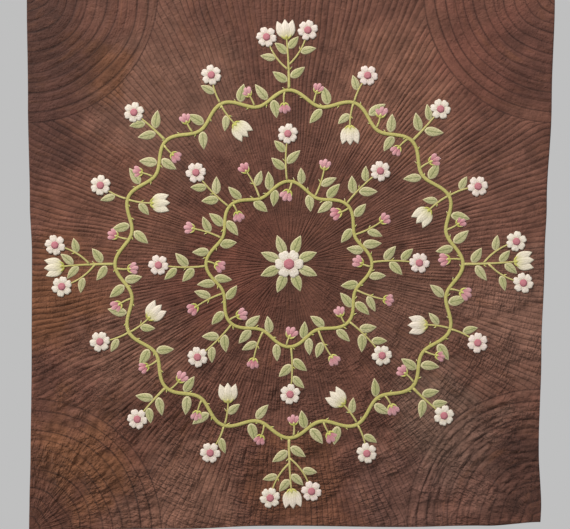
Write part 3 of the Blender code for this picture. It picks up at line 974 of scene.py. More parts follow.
def ray_puff(radius, angle):
    """The puff between rays, how near the nearest sewn line is, and how far the lines wander aside."""
    puff, seam, wander = 0.0, 0.0, 0.0
    for i, zone in enumerate(ZONES):
        begins = smooth((radius - zone.start) / ZONE_BLEND + 0.5) if i else 1.0
        ends = smooth((radius - ZONES[i + 1].start) / ZONE_BLEND + 0.5) if i + 1 < len(ZONES) else 0.0
        weight = begins - ends
        if weight > 0.0:
            ray = zone.rays * angle / (2 * math.pi)
            full = channel(ray)
            pitch = 2 * math.pi * radius / zone.rays
            puff += weight * full * min(1.0, pitch / FULL_PITCH) * slack(ray, radius, float(i))
            seam += weight * (1 - full)
            aside = noise.noise(Vector((ray / WANDER_RAYS, radius / WANDER_RUN, WANDER_SEED + i)))
            wander += weight * WANDER * pitch * aside
    return puff, seam, wander


def slack(ray, run, seed):
    """How full one channel is at that place along it, from a flat one to a full one."""
    spot = Vector((ray / SLACK_RAYS, run / SLACK_RUN, seed))
    return 1 - SLACK * smooth(0.5 + SLACK_CONTRAST * noise.noise(spot))


print("the fans' arcs start", round(FAN_START * 1000, 1), "mm from each corner")

# %% [markdown]
# A crumple is a thin valley between soft lumps. The valleys lie mostly along the sewn lines, because the
# stitches hold the cloth there. The lower corners are crumpled most, where the folded quilt was gripped.

# %% Crumples
CREASE_LENGTH = 0.048
CREASE_WIDTH = 0.015
CREASE_BEND = 0.012
BEND_RUN = 0.06
BEND_ACROSS = 0.05
VALLEY_SHARPNESS = 3.2
VALLEY_SHARE = 0.8
LUMP_LENGTH = 0.036
LUMP_WIDTH = 0.014
CRUMPLE_DEPTH = 0.0064
EVEN_CRUMPLE = 0.13
CrumpleRow = namedtuple("CrumpleRow", "x z reach share")
CRUMPLES = (
    CrumpleRow(0.60, -1.60, 0.50, 0.66),
    CrumpleRow(0.82, -1.20, 0.32, 0.35),
    CrumpleRow(-0.66, -1.62, 0.50, 0.72),
    CrumpleRow(0.02, -1.80, 0.36, 0.80),
)


def crumpled(x, z):
    """How crumpled the cloth is there, from 0 for smooth cloth to 1."""
    share = EVEN_CRUMPLE
    for row in CRUMPLES:
        share += row.share * math.exp(-((x - row.x) ** 2 + (z - row.z) ** 2) / row.reach**2)
    return min(1.0, share)


def crinkle(share, run, across, seed):
    """Creases that lie mostly along the sewn lines: thin valleys between soft lumps."""
    bend = noise.noise(Vector((run / BEND_RUN, across / BEND_ACROSS, seed + 9.0)))
    wide = (across + CREASE_BEND * bend) / CREASE_WIDTH
    nearness = abs(noise.noise(Vector((run / CREASE_LENGTH, wide, seed))))
    valley = max(0.0, 1 - VALLEY_SHARPNESS * nearness)
    lump = noise.noise(Vector((run / LUMP_LENGTH, across / LUMP_WIDTH, seed + 4.0)))
    return CRUMPLE_DEPTH * share * (lump - VALLEY_SHARE * valley**2)


def face_level(x, z, puff, creases, hem_at_fan):
    """The height of the face above the back, from the puff of its channels."""
    level = SEWN_LOFT + (FULL_LOFT - SEWN_LOFT) * puff * hem_at_fan + creases * hem_at_fan
    room = SEWN_LOFT - EDGE_LEVEL
    if level < SEWN_LOFT:
        level = EDGE_LEVEL + room * math.exp((level - SEWN_LOFT) / room)
    press = pressed(x, z)
    level += press * (PAD_LEVEL - level)
    inward = edge_distance(x, z) / EDGE_ROLL
    if inward < 1.0:
        level = EDGE_LEVEL + (level - EDGE_LEVEL) * math.sqrt(max(0.0, 1 - (1 - max(0.0, inward)) ** 2))
    return max(level, EDGE_LEVEL)


print("crumpled by", [round(crumpled(c.x, c.y), 2) for c in CORNERS], "at the corners")

# %% [markdown]
# How far the cloth reaches from its middle differs with the angle. It is found by halving: a step is tried,
# and the half of the range that still holds the edge is kept. The face's field stops at the corner fans,
# and the backing goes on to the corners.

# %% How far the cloth reaches
REACH_RANGE = (0.5, 1.5)
REACH_STEPS = 16


def angle_of(vert):
    """A vertex's angle round the middle of the design."""
    return math.atan2(vert.co.z - CENTRE.y, vert.co.x - CENTRE.x)


def reach_until(angle, clear):
    """How far from the middle that clear(point) stays true."""
    near, far = REACH_RANGE
    for _ in range(REACH_STEPS):
        middle = (near + far) / 2
        near, far = (middle, far) if clear(polar(middle, angle)) else (near, middle)
    return near


def on_cloth(point):
    """Whether a point is on the cloth."""
    return edge_distance(point.x, point.y) > 0.0


def on_field(point):
    """Whether a point is on the cloth and outside the corner fans."""
    return on_cloth(point) and all((point - corner).length > FAN_REACH for corner in CORNERS)


field_reach, cloth_reach = {}, {}


def reach_of_field(angle):
    """The rayed field's reach, kept for each angle."""
    key = round(angle, 6)
    if key not in field_reach:
        field_reach[key] = reach_until(angle, on_field)
    return field_reach[key]


def reach_of_cloth(angle):
    """The whole cloth's reach, kept for each angle."""
    key = round(angle, 6)
    if key not in cloth_reach:
        cloth_reach[key] = reach_until(angle, on_cloth)
    return cloth_reach[key]


print("the cloth reaches", round(reach_of_cloth(0.0), 3), "m to the right of its middle")

# %% [markdown]
# The disc is extruded outwards ring by ring, as a patch is. Its last rings stop short of the cloth's edge
# by a few fixed steps, so that the turned edge has enough points to look round.

# %% The rayed disc
RAY_COLUMNS = 6
BACK_COLUMNS = 2
RUN_MARKS = ("run", "across", "seam", "crumple")
RIM_STEPS = (0.0110, 0.0060, 0.0022, 0.0)


def rayed_disc(columns_per_ray, rings_share, reach):
    """A flat disc of columns that follow the rays, out to where reach(angle) says."""
    bm = marked_mesh(RUN_MARKS)
    first = ZONES[0]
    bmesh.ops.create_circle(
        bm, cap_ends=True, cap_tris=True, segments=first.rays * columns_per_ray, radius=first.start
    )
    for vert in bm.verts:
        vert.co = (CENTRE.x + vert.co.x, 0.0, CENTRE.y + vert.co.y)
    rim = [e for e in bm.edges if e.is_boundary]
    for i, zone in enumerate(ZONES):
        if i:
            split = bmesh.ops.subdivide_edges(bm, edges=rim, cuts=1)["geom_split"]
            rim = [e for e in split if isinstance(e, bmesh.types.BMEdge)]
            for vert in {v for e in rim for v in e.verts}:
                spot = polar(zone.start, angle_of(vert))
                vert.co = (spot.x, 0.0, spot.y)
        rings = round(zone.rings * rings_share)
        last = i + 1 == len(ZONES)
        steps = [(ring / rings, 0.0) for ring in range(1, rings + 1)]
        if last:
            steps = [(share, RIM_STEPS[0]) for share, _ in steps] + [(1.0, back) for back in RIM_STEPS[1:]]
        for share, back in steps:
            verts, rim = new_ring(bm, rim)
            for vert in verts:
                angle = angle_of(vert)
                stop = reach(angle) - back if last else ZONES[i + 1].start
                spot = polar(zone.start + (stop - zone.start) * share, angle)
                vert.co = (spot.x, 0.0, spot.y)
    return bm


field = rayed_disc(RAY_COLUMNS, 1.0, reach_of_field)
print("the field has", len(field.verts), "points")

# %% [markdown]
# The flat disc now gets its heights. Each point also keeps four numbers for the materials: how far along
# its sewn line it is, how far across the lines, how near the next line is, and how crumpled the cloth is
# there.

# %% Raise the field
STEADY_EDGE = 0.02
CALM_MIDDLE = 0.5
EDGE_SEAM = 0.005


def mark_run(bm, vert, run, across, seam, room=1.0):
    """Keeps the place along and across the sewn lines, how near one is, and how crumpled the cloth is."""
    values = (run, across, seam, crumpled(vert.co.x, vert.co.z) * room)
    for name, value in zip(RUN_MARKS, values):
        vert[bm.verts.layers.float[name]] = value


def raise_field(bm):
    """Puts the flat field's points on the quilt, with marks for its materials."""
    for vert in bm.verts:
        x, z = vert.co.x, vert.co.z
        from_middle = Vector((x - CENTRE.x, z - CENTRE.y))
        radius, angle = from_middle.length, math.atan2(from_middle.y, from_middle.x)
        puff, seam, wander = ray_puff(radius, angle)
        across = angle * ZONES[-1].start
        inward = edge_distance(x, z)
        to_fan = min((Vector((x, z)) - corner).length for corner in CORNERS) - FAN_REACH
        hem_at_fan = smooth(to_fan / EDGE_ROLL)
        wander *= smooth(min(inward, to_fan) / STEADY_EDGE)
        x -= wander * math.sin(angle)
        z += wander * math.cos(angle)
        creases = crinkle(crumpled(x, z), radius, across, 0.0) * smooth(radius / CALM_MIDDLE)
        level = face_level(x, z, puff, creases, hem_at_fan)
        vert.co = (x, -lie(x, z) - level, z)
        # At the cloth's edge the seam mark is full, so painted shade and stitches run round the turned edge
        # too.
        at_edge = 1 - smooth(inward / EDGE_SEAM)
        mark_run(bm, vert, radius, across, max(seam, 1 - hem_at_fan, at_edge))


raise_field(field)
print("the field stands", round(-min(v.co.y for v in field.verts) * 1000, 1), "mm off the wall")

# %% [markdown]
# A corner's fan is spun: a straight row of points from the corner outwards, turned through a right angle.
# It is made about the origin, flat, and all four corners start from the same one.

# %% A flat fan
FAN_COLUMNS = 104
FAN_STEP = FAN_PITCH / 8
FAN_TUCK = 0.002


def flat_fan():
    """A quarter circle of points about the origin."""
    bm = marked_mesh(RUN_MARKS)
    chain = [bm.verts.new((0.0, 0.0, 0.0))]
    rings = round((FAN_REACH - FAN_START) / FAN_STEP)
    radii = [FAN_START + FAN_STEP * ring for ring in range(rings + 1)] + [FAN_REACH + FAN_TUCK]
    for radius in radii:
        made = bmesh.ops.extrude_vert_indiv(bm, verts=chain[-1:])
        chain += made["verts"]
        chain[-1].co = (radius, 0.0, 0.0)
    bmesh.ops.spin(
        bm, geom=bm.verts[:] + bm.edges[:], axis=(0.0, -1.0, 0.0), cent=(0.0, 0.0, 0.0),
        angle=math.pi / 2, steps=FAN_COLUMNS, use_merge=False,
    )
    bmesh.ops.remove_doubles(bm, verts=bm.verts[:], dist=1e-5)
    return bm


print("a fan has", FAN_COLUMNS, "columns")

# %% [markdown]
# The two straight sides of a fan are moved on to the cloth's own edges, which aren't quite square. The low
# fans are fuller than the top ones. Where a corner has been pulled, its creases run out from it, and
# elsewhere they lie along the arcs. The last ring is tucked just under the field.

# %% Set the fans in the corners
FAN_WANDER = 0.42
FAN_WANDER_RUN = 0.20
FAN_WANDER_ACROSS = 0.09
FAN_STEADY = 0.03
FAN_RUN_SHARE = 0.6
FULL_FROM = 0.05
CALM_TIP = 0.16
TUCK_LEVEL = SEWN_LOFT - 0.0004
SIDE_LEAN = 0.06
SIDE_STEPS = 12
FanRow = namedtuple("FanRow", "name across down full gathered")
FANS = (
    FanRow("corner_top_left", 1, -1, 0.55, True),
    FanRow("corner_top_right", -1, -1, 0.85, False),
    FanRow("corner_low_left", 1, 1, 0.90, True),
    FanRow("corner_low_right", -1, 1, 1.05, False),
)


def onto_cloth(corner, row, radius, share):
    """The point at that radius from the corner, share of the way round from the side to the top or hem."""

    def at(angle):
        return corner + radius * Vector((row.across * math.cos(angle), row.down * math.sin(angle)))

    ends = []
    for guess in (0.0, math.pi / 2):
        low, high = guess - SIDE_LEAN, guess + SIDE_LEAN
        for _ in range(SIDE_STEPS):
            middle = (low + high) / 2
            onwards = on_cloth(at(middle)) == (guess > 0.0)
            low, high = (middle, high) if onwards else (low, middle)
        ends.append((low + high) / 2)
    return at(ends[0] + (ends[1] - ends[0]) * share)


def set_fan(bm, corner, row):
    """Sets a flat fan's points round its corner of the quilt, with marks for its materials."""
    seed = 7.0 + 3 * corner.x + corner.y
    for vert in bm.verts:
        radius = math.hypot(vert.co.x, vert.co.z)
        share = round(math.atan2(abs(vert.co.z), vert.co.x) / (math.pi / 2) * FAN_COLUMNS) / FAN_COLUMNS
        run = share * math.pi / 2 * FAN_REACH * FAN_RUN_SHARE
        aside = noise.noise(Vector((run / FAN_WANDER_RUN, radius / FAN_WANDER_ACROSS, seed)))
        steady = smooth((FAN_REACH - radius) / FAN_STEADY) * smooth(radius / FAN_STEADY)
        wander = FAN_WANDER * FAN_PITCH * aside * steady
        spot = onto_cloth(corner, row, radius + wander, share) if radius > 1e-4 else corner
        phase = (radius - FAN_START) / FAN_PITCH
        fullness = row.full * min(1.0, radius / FULL_FROM) * slack(radius / FAN_PITCH, run, seed)
        along, across = (radius, run) if row.gathered else (run, radius)
        calm = smooth(radius / CALM_TIP)
        creases = crinkle(crumpled(spot.x, spot.y) * row.full * calm, along, across, seed)
        hem = smooth((FAN_REACH - radius) / EDGE_ROLL)
        level = face_level(spot.x, spot.y, channel(phase) * fullness, creases, hem)
        if radius > FAN_REACH + FAN_TUCK / 2:
            level = TUCK_LEVEL
        vert.co = (spot.x, -lie(spot.x, spot.y) - level, spot.y)
        mark_run(bm, vert, run, radius, 1 - channel(phase), calm)
    bmesh.ops.recalc_face_normals(bm, faces=bm.faces[:])


fans = {}
for corner, row in zip(CORNERS, FANS):
    fans[row.name] = flat_fan()
    set_fan(fans[row.name], corner, row)
print("each fan has", len(fans["corner_low_left"].verts), "points")

# %% [markdown]
# The backing is a second cloth. The stitches that go through dimple it along the same rays, but it lies
# against the wall, so it is flatter than the face.

# %% The backing
BACK_RINGS = 0.6


def backing_sheet():
    """The back of the quilt."""
    bm = rayed_disc(BACK_COLUMNS, BACK_RINGS, reach_of_cloth)
    rim = [v for v in bm.verts if v.is_boundary]
    for corner in CORNERS:
        nearest = min(rim, key=lambda v: (Vector((v.co.x, v.co.z)) - corner).length)
        nearest.co = (corner.x, 0.0, corner.y)
    for vert in bm.verts:
        x, z = vert.co.x, vert.co.z
        radius = math.hypot(x - CENTRE.x, z - CENTRE.y)
        angle = angle_of(vert)
        puff, seam, _ = ray_puff(radius, angle)
        level = BACK_DIP * (1 - puff)
        inward = max(0.0, edge_distance(x, z)) / EDGE_ROLL
        if inward < 1.0:
            level = EDGE_LEVEL + (level - EDGE_LEVEL) * math.sqrt(max(0.0, 1 - (1 - inward) ** 2))
        vert.co = (x, -lie(x, z) - level, z)
        mark_run(bm, vert, radius, angle * ZONES[-1].start, seam)
    return bm


backing_mesh = backing_sheet()
print("the backing has", len(backing_mesh.verts), "points")

# %% [markdown]
# ## Lay the patches on the ground
# Each patch now moves from the flat pattern to the quilt: out by the lie of the cloth, by the pressed
# ground and by its own height. Flowers lie a little higher than stems, because a stem's end is tucked under
# them.

# %% Lift
LEAF_LIFT = PAD_LEVEL
STEM_LIFT = PAD_LEVEL + 0.0002
BUD_LIFT = PAD_LEVEL + 0.0006
TULIP_LIFT = PAD_LEVEL + 0.0008
DAISY_LIFT = PAD_LEVEL + 0.0012


def lift(bm, level):
    """Moves a flat patch on to the quilt, that far above the back."""
    for vert in bm.verts:
        vert.co.y -= lie(vert.co.x, vert.co.z) + level
    bmesh.ops.recalc_face_normals(bm, faces=bm.faces[:])


LIFTS = (
    (leaf_meshes.values(), LEAF_LIFT),
    (stem_meshes.values(), STEM_LIFT),
    ([sepals], STEM_LIFT),
    ([buds], BUD_LIFT),
    (tulip_meshes.values(), TULIP_LIFT),
    (daisy_meshes.values(), DAISY_LIFT),
    ([hearts, knots], DAISY_LIFT),
)
for patches, level in LIFTS:
    for patch in patches:
        lift(patch, level)
print("patches lifted by", round(LEAF_LIFT * 1000, 1), "to", round(DAISY_LIFT * 1000, 1), "mm")

# %% [markdown]
# ## Materials
# All the cloths here are plain-woven cotton, so they share one weave group, a shader node group with its
# own inputs. The ground adds three more effects of its own: clouds of dye, the crinkle that stitches draw
# in, and the thread of the sewn lines.

# %% Node helpers
def put(tree, kind, values=None, **settings):
    """Adds a node. values fills its inputs by name or number, with a number, a colour or a link."""
    node = tree.nodes.new(kind)
    for name, value in settings.items():
        setattr(node, name, value)
    for key, value in (values or {}).items():
        socket = node.inputs[key]
        if isinstance(value, bpy.types.NodeSocket):
            tree.links.new(value, socket)
        else:
            socket.default_value = value
    return node


def maths(tree, operation, a, b=0.0, c=0.0):
    """One Math node's result."""
    return put(tree, "ShaderNodeMath", {0: a, 1: b, 2: c}, operation=operation).outputs[0]


def ramp(tree, value, low, high, start=0.0, stop=1.0):
    """A smooth step of value between low and high."""
    values = {"Value": value, "From Min": low, "From Max": high, "To Min": start, "To Max": stop}
    node = put(tree, "ShaderNodeMapRange", values, interpolation_type="SMOOTHSTEP")
    return node.outputs["Result"]


def mixed(tree, share, a, b, blend="MIX"):
    """A colour mix."""
    node = put(tree, "ShaderNodeMix", data_type="RGBA", blend_type=blend)
    for key, value in ((0, share), (6, a), (7, b)):
        if isinstance(value, bpy.types.NodeSocket):
            tree.links.new(value, node.inputs[key])
        else:
            node.inputs[key].default_value = value
    return node.outputs[2]


def tinted(tree, colour, mask, share, other):
    """That colour, with another laid over it where the mask says, up to that share."""
    return mixed(tree, maths(tree, "MULTIPLY", mask, share), colour, other)


def new_group(name, inputs, outputs):
    """An empty shader node group with float, vector or colour sockets."""
    group = bpy.data.node_groups.new(name, "ShaderNodeTree")
    for socket, kind, value in inputs:
        made = group.interface.new_socket(socket, in_out="INPUT", socket_type=kind)
        if value is not None:
            made.default_value = value
    for socket, kind in outputs:
        group.interface.new_socket(socket, in_out="OUTPUT", socket_type=kind)
    return group, group.nodes.new("NodeGroupInput"), group.nodes.new("NodeGroupOutput")


LIGHT_ON_CLOTH = 1.65


def seen(red, green, blue):
    """The colour of a cloth that looks like those 0 to 255 numbers under the lights of this scene."""
    def linear(value):
        value /= 255
        return value / 12.92 if value <= 0.04045 else ((value + 0.055) / 1.055) ** 2.4

    return tuple(linear(value) / LIGHT_ON_CLOTH for value in (red, green, blue)) + (1.0,)


print("node helpers ready")

# %% [markdown]
# Plain weave is threads over and under at right angles. Two band patterns, one for each direction, are
# enough: where one is high the other is low. A little noise makes some threads thicker than others.

# %% The weave group
THREADS_PER_METRE = 1500.0


def build_weave():
    """Plain woven cotton as a height, from a place in metres."""
    group, given, result = new_group(
        "plain weave",
        [("Place", "NodeSocketVector", None), ("Threads per metre", "NodeSocketFloat", THREADS_PER_METRE)],
        [("Height", "NodeSocketFloat")],
    )
    place, threads = given.outputs["Place"], given.outputs["Threads per metre"]
    parts = put(group, "ShaderNodeSeparateXYZ", {0: place})
    turn = maths(group, "MULTIPLY", threads, math.pi)
    warp = maths(group, "SINE", maths(group, "MULTIPLY", parts.outputs["X"], turn))
    weft = maths(group, "SINE", maths(group, "MULTIPLY", parts.outputs["Z"], turn))
    over = maths(group, "MULTIPLY", warp, weft)
    slub = put(group, "ShaderNodeTexNoise", {"Vector": place, "Scale": 420.0, "Detail": 2.0})
    height = maths(group, "ADD", maths(group, "MULTIPLY", over, 0.5), slub.outputs[0])
    group.links.new(height, result.inputs["Height"])
    return group


def woven_threads(tree, place):
    """The weave's height at that place of a material."""
    return put(tree, "ShaderNodeGroup", {"Place": place}, node_tree=weave).outputs["Height"]


weave = build_weave()
print("weave group:", [s.name for s in weave.interface.items_tree])

# %% [markdown]
# Hand dyeing leaves clouds: the cloth takes more dye where it was folded outwards. A noise with a few finer
# ones laid over it, and bent a little, gives their torn edges.

# %% The dye group
def build_dye():
    """Clouds of dye as a mask from 0 to 1."""
    group, given, result = new_group(
        "dye clouds",
        [
            ("Place", "NodeSocketVector", None),
            ("Size", "NodeSocketFloat", 0.25),
            ("Sharpness", "NodeSocketFloat", 0.5),
        ],
        [("Mask", "NodeSocketFloat")],
    )
    scale = maths(group, "DIVIDE", 1.0, given.outputs["Size"])
    values = {"Vector": given.outputs["Place"], "Scale": scale, "Detail": 5.0}
    values.update({"Roughness": 0.62, "Distortion": 0.6})
    broad = put(group, "ShaderNodeTexNoise", values)
    low = maths(group, "MULTIPLY_ADD", given.outputs["Sharpness"], 0.28, 0.22)
    high = maths(group, "SUBTRACT", 1.0, low)
    group.links.new(ramp(group, broad.outputs[0], low, high), result.inputs["Mask"])
    return group


dye = build_dye()
print("dye group:", [s.name for s in dye.interface.items_tree])

# %% [markdown]
# The ground's colour is the dye, cloud over cloud: a plum base, then broad places where the photograph
# shows rust, wine or smoke. Places and colours weren't chosen by eye alone. They started from mean colours
# of the photograph's bare ground, read at 9 by 9 spots, and were then changed by comparing the render with
# the photograph. The lift, one for all of them, makes up for the puffs and sewn lines that shade the cloth.

# %% The clouds of dye
DYE_LIFT = (0.0115, 0.0084, 0.0070)


def dyed(red, green, blue):
    """A colour of the ground, made a little paler than it looks, because puffs and sewn lines shade it."""
    lifted = [part + lift for part, lift in zip(seen(red, green, blue), DYE_LIFT)]
    return (*lifted, 1.0)


PLUM = dyed(105, 65, 52)
DEEP = dyed(85, 48, 36)
CloudRow = namedtuple("CloudRow", "name x z reach colour amount")
CLOUDS = (
    CloudRow("middle", 0.00, -0.96, 0.40, dyed(89, 51, 38), 0.80),
    CloudRow("wine left of the middle", -0.24, -0.96, 0.28, dyed(99, 53, 40), 0.70),
    CloudRow("smoke upper left", -0.43, -0.36, 0.34, dyed(119, 83, 68), 0.75),
    CloudRow("rust top left", -0.70, -0.27, 0.15, dyed(113, 67, 34), 0.65),
    CloudRow("deep top left corner", -0.94, -0.16, 0.34, dyed(62, 31, 22), 0.90),
    CloudRow("deep left edge", -0.90, -0.42, 0.24, dyed(70, 38, 30), 0.90),
    CloudRow("pale top right", 0.38, -0.34, 0.34, dyed(125, 83, 66), 0.80),
    CloudRow("wine top right", 0.66, -0.20, 0.26, dyed(104, 59, 48), 0.70),
    CloudRow("deep top right edge", 0.90, -0.26, 0.20, dyed(85, 49, 40), 0.80),
    CloudRow("smoke right", 0.84, -1.14, 0.30, dyed(123, 87, 73), 0.85),
    CloudRow("smoke upper right", 0.62, -0.72, 0.34, dyed(113, 74, 61), 0.60),
    CloudRow("rust left edge", -0.84, -1.06, 0.24, dyed(116, 71, 42), 0.80),
    CloudRow("smoke below left", -0.58, -1.30, 0.22, dyed(119, 82, 66), 0.60),
    CloudRow("smoke right of the middle", 0.42, -1.14, 0.22, dyed(112, 78, 64), 0.55),
    CloudRow("warm left", -0.66, -0.80, 0.30, dyed(113, 71, 54), 0.60),
    CloudRow("rust low left", -0.72, -1.64, 0.22, dyed(116, 72, 38), 0.60),
    CloudRow("deep low left", -0.88, -1.84, 0.20, dyed(83, 47, 34), 0.80),
    CloudRow("plum low left", -0.46, -1.52, 0.20, dyed(91, 52, 38), 0.70),
    CloudRow("pale low left", -0.38, -1.80, 0.26, dyed(124, 86, 70), 0.80),
    CloudRow("rust low middle", 0.04, -1.74, 0.20, dyed(113, 68, 40), 0.60),
    CloudRow("smoke low right", 0.54, -1.54, 0.26, dyed(115, 91, 78), 0.60),
    CloudRow("grey low right", 0.44, -1.80, 0.24, dyed(109, 76, 67), 0.65),
    CloudRow("smoke by the low right", 0.66, -1.66, 0.20, dyed(112, 80, 70), 0.45),
    CloudRow("deep low right", 0.87, -1.68, 0.26, dyed(64, 34, 26), 0.85),
)
print(len(CLOUDS), "clouds of dye")

# %% [markdown]
# Each cloud is a round patch, but it is drawn on a place that noise has pushed about, so its edge is torn.
# The clouds are laid over each other in turn, each by its own amount.

# %% Paint the clouds
CLOUD_TEAR = 0.26
CLOUD_FADE = (1.15, 0.35)


def mark(tree, name):
    """A number kept on the mesh."""
    return put(tree, "ShaderNodeAttribute", attribute_name=name).outputs["Fac"]


def grey(tree, value):
    """A grey colour of that value."""
    return put(tree, "ShaderNodeCombineColor", {0: value, 1: value, 2: value}).outputs[0]


def vectors(tree, operation, values):
    """One Vector Math node's vector."""
    return put(tree, "ShaderNodeVectorMath", values, operation=operation).outputs[0]


def cloud_colour(tree, place):
    """The dyed colour of the ground at that place."""
    push = put(tree, "ShaderNodeTexNoise", {"Vector": place, "Scale": 5.5, "Detail": 5.0, "Roughness": 0.62})
    centred = vectors(tree, "SUBTRACT", {0: push.outputs["Color"], 1: (0.5, 0.5, 0.5)})
    scaled = vectors(tree, "SCALE", {0: centred, "Scale": 2 * CLOUD_TEAR})
    torn = vectors(tree, "ADD", {0: place, 1: scaled})
    broad = put(tree, "ShaderNodeGroup", {"Place": place, "Size": 0.16, "Sharpness": 0.35}, node_tree=dye)
    colour = tinted(tree, PLUM, broad.outputs["Mask"], 0.7, DEEP)
    for row in CLOUDS:
        away = put(tree, "ShaderNodeVectorMath", {0: torn, 1: (row.x, 0.0, row.z)}, operation="DISTANCE")
        near = ramp(tree, away.outputs["Value"], row.reach * CLOUD_FADE[0], row.reach * CLOUD_FADE[1])
        colour = tinted(tree, colour, near, row.amount, row.colour)
    return colour


print("a cloud's edge is torn by up to", CLOUD_TEAR, "m")

# %% [markdown]
# Some of what dyeing and sewing do is colour alone, or too fine for points. Mottling is stronger and weaker
# dye in patches of three sizes. Streaks run along the sewn lines: painted light and shade of fine crinkles
# there. Puckers are short wrinkles from one sewn line to the next, where the stitches have drawn the cloth
# in.

# %% Mottling and puckers
STREAK_RUN = 8.0
STREAK_ACROSS = 60.0
PUCKER_RUN = 105.0
PUCKER_ACROSS = 34.0
MOTTLES = ((6.5, 1.20), (21.0, 0.95), (70.0, 0.40))


def stretched(tree, run, across, along_run, along_across, level):
    """A place for a noise that is drawn out along or across the sewn lines."""
    values = {
        "X": maths(tree, "MULTIPLY", run, along_run),
        "Y": maths(tree, "MULTIPLY", across, along_across),
        "Z": level,
    }
    return put(tree, "ShaderNodeCombineXYZ", values).outputs[0]


def build_mottling_and_streak_shade(group, place, streaks):
    """Broad and middling clouds of dye and the painted light and shade of the streaks, added up about 0."""
    # The streaks are painted light and shade of fine crinkles along the sewn lines; the three mottles are
    # dye.
    total = maths(group, "MULTIPLY_ADD", streaks, 0.30, -0.15)
    for scale, share in MOTTLES:
        values = {"Vector": place, "Scale": scale, "Detail": 3.0, "Roughness": 0.55, "Distortion": 0.5}
        cloud = put(group, "ShaderNodeTexNoise", values).outputs["Fac"]
        total = maths(group, "MULTIPLY_ADD", maths(group, "SUBTRACT", cloud, 0.5), share, total)
    return total


def build_puckers(group, given, streaks):
    """The height of puckers, strong where the cloth is crumpled, with a soft grain over them."""
    spot = stretched(group, given["Run"], given["Across"], PUCKER_RUN, PUCKER_ACROSS, 2.0)
    puckers = put(
        group, "ShaderNodeTexNoise",
        {"Vector": spot, "Scale": 1.0, "Detail": 2.0, "Roughness": 0.40, "Distortion": 0.7},
    )
    patchy = put(group, "ShaderNodeTexNoise", {"Vector": given["Place"], "Scale": 9.0, "Detail": 2.0})
    patch = ramp(group, patchy.outputs["Fac"], 0.40, 0.58, 0.25, 1.0)
    share = maths(group, "MULTIPLY", given["Crumple"], patch)
    grain = put(
        group, "ShaderNodeTexNoise",
        {"Vector": given["Place"], "Scale": 80.0, "Detail": 3.0, "Roughness": 0.45, "Distortion": 0.8},
    )
    height = maths(group, "MULTIPLY", streaks, 0.35)
    height = maths(group, "MULTIPLY_ADD", grain.outputs["Fac"], 0.22, height)
    rough = maths(group, "MULTIPLY", grain.outputs["Fac"], 0.9)
    both = maths(group, "MULTIPLY_ADD", puckers.outputs["Fac"], 1.30, rough)
    return maths(group, "MULTIPLY_ADD", both, share, height)


print("mottles are", [round(1 / scale, 3) for scale, _ in MOTTLES], "m across")

# %% [markdown]
# The face and the backing share one group for all of this. Its inputs are the place in metres, the run along
# the sewn lines and the place across them, how near a sewn line is, and how crumpled the cloth is. It gives a
# value to multiply the dye with, which holds the mottling and the painted shade along the sewn lines, a share
# of rust, the thread of the stitches, and a height.

# %% The quilted group
STITCH_LENGTH = 0.0052


def build_quilted():
    """What dyeing and sewing do to a cloth, with the painted shade along its sewn lines and streaks, as masks
    and a height.
    """
    floats = [("Run", None), ("Across", None), ("Seam", None), ("Crumple", 0.2)]
    floats += [("Mottling", 1.0), ("Line shade", 0.30)]
    group, given, result = new_group(
        "quilted cotton",
        [("Place", "NodeSocketVector", None)] + [(name, "NodeSocketFloat", value) for name, value in floats],
        [(name, "NodeSocketFloat") for name in ("Value", "Rust", "Thread", "Crinkle")],
    )
    place, run, across, seam = [given.outputs[name] for name in ("Place", "Run", "Across", "Seam")]
    streak_spot = stretched(group, run, across, STREAK_RUN, STREAK_ACROSS, 0.0)
    streaks = put(
        group, "ShaderNodeTexNoise",
        {"Vector": streak_spot, "Scale": 1.0, "Detail": 3.0, "Roughness": 0.5, "Distortion": 0.3},
    )
    mottling = build_mottling_and_streak_shade(group, place, streaks.outputs["Fac"])
    value = maths(group, "MULTIPLY_ADD", mottling, given.outputs["Mottling"], 1.0)
    # Painted shade: a dark band along each sewn line, stronger on some lines than others.
    chance_spot = stretched(group, run, across, 2.2, 24.0, 5.0)
    chance = put(group, "ShaderNodeTexNoise", {"Vector": chance_spot, "Scale": 1.0, "Detail": 1.0})
    strong = ramp(group, chance.outputs["Fac"], 0.42, 0.62, 0.55, 1.0)
    line = maths(group, "MULTIPLY", ramp(group, seam, 0.40, 1.0), strong)
    dark = maths(group, "MULTIPLY", line, given.outputs["Line shade"])
    value = maths(group, "MULTIPLY", value, maths(group, "SUBTRACT", 1.0, dark))
    rust = ramp(group, streaks.outputs["Color"], 0.52, 0.72)
    turn = maths(group, "MULTIPLY", run, 2 * math.pi / STITCH_LENGTH)
    dash = ramp(group, maths(group, "SINE", turn), -0.3, 0.1)
    thread = maths(group, "MULTIPLY", ramp(group, seam, 0.86, 0.95), dash)
    for name, source in (("Value", value), ("Rust", rust), ("Thread", thread)):
        group.links.new(source, result.inputs[name])
    height = build_puckers(group, given.outputs, streaks.outputs["Fac"])
    group.links.new(height, result.inputs["Crinkle"])
    return group


quilting = build_quilted()
print("quilting group has", len(quilting.nodes), "nodes")

# %% [markdown]
# The face and the backing are dyed in one bath, so both come from one function. The backing has never seen
# the light, so its dye is less mottled; it also gets less painted shade along its sewn lines and streaks.

# %% The ground's materials
RUST = seen(124, 80, 52)
THREAD = seen(60, 34, 32)
RUST_SHARE = 0.25
THREAD_SHARE = 0.5


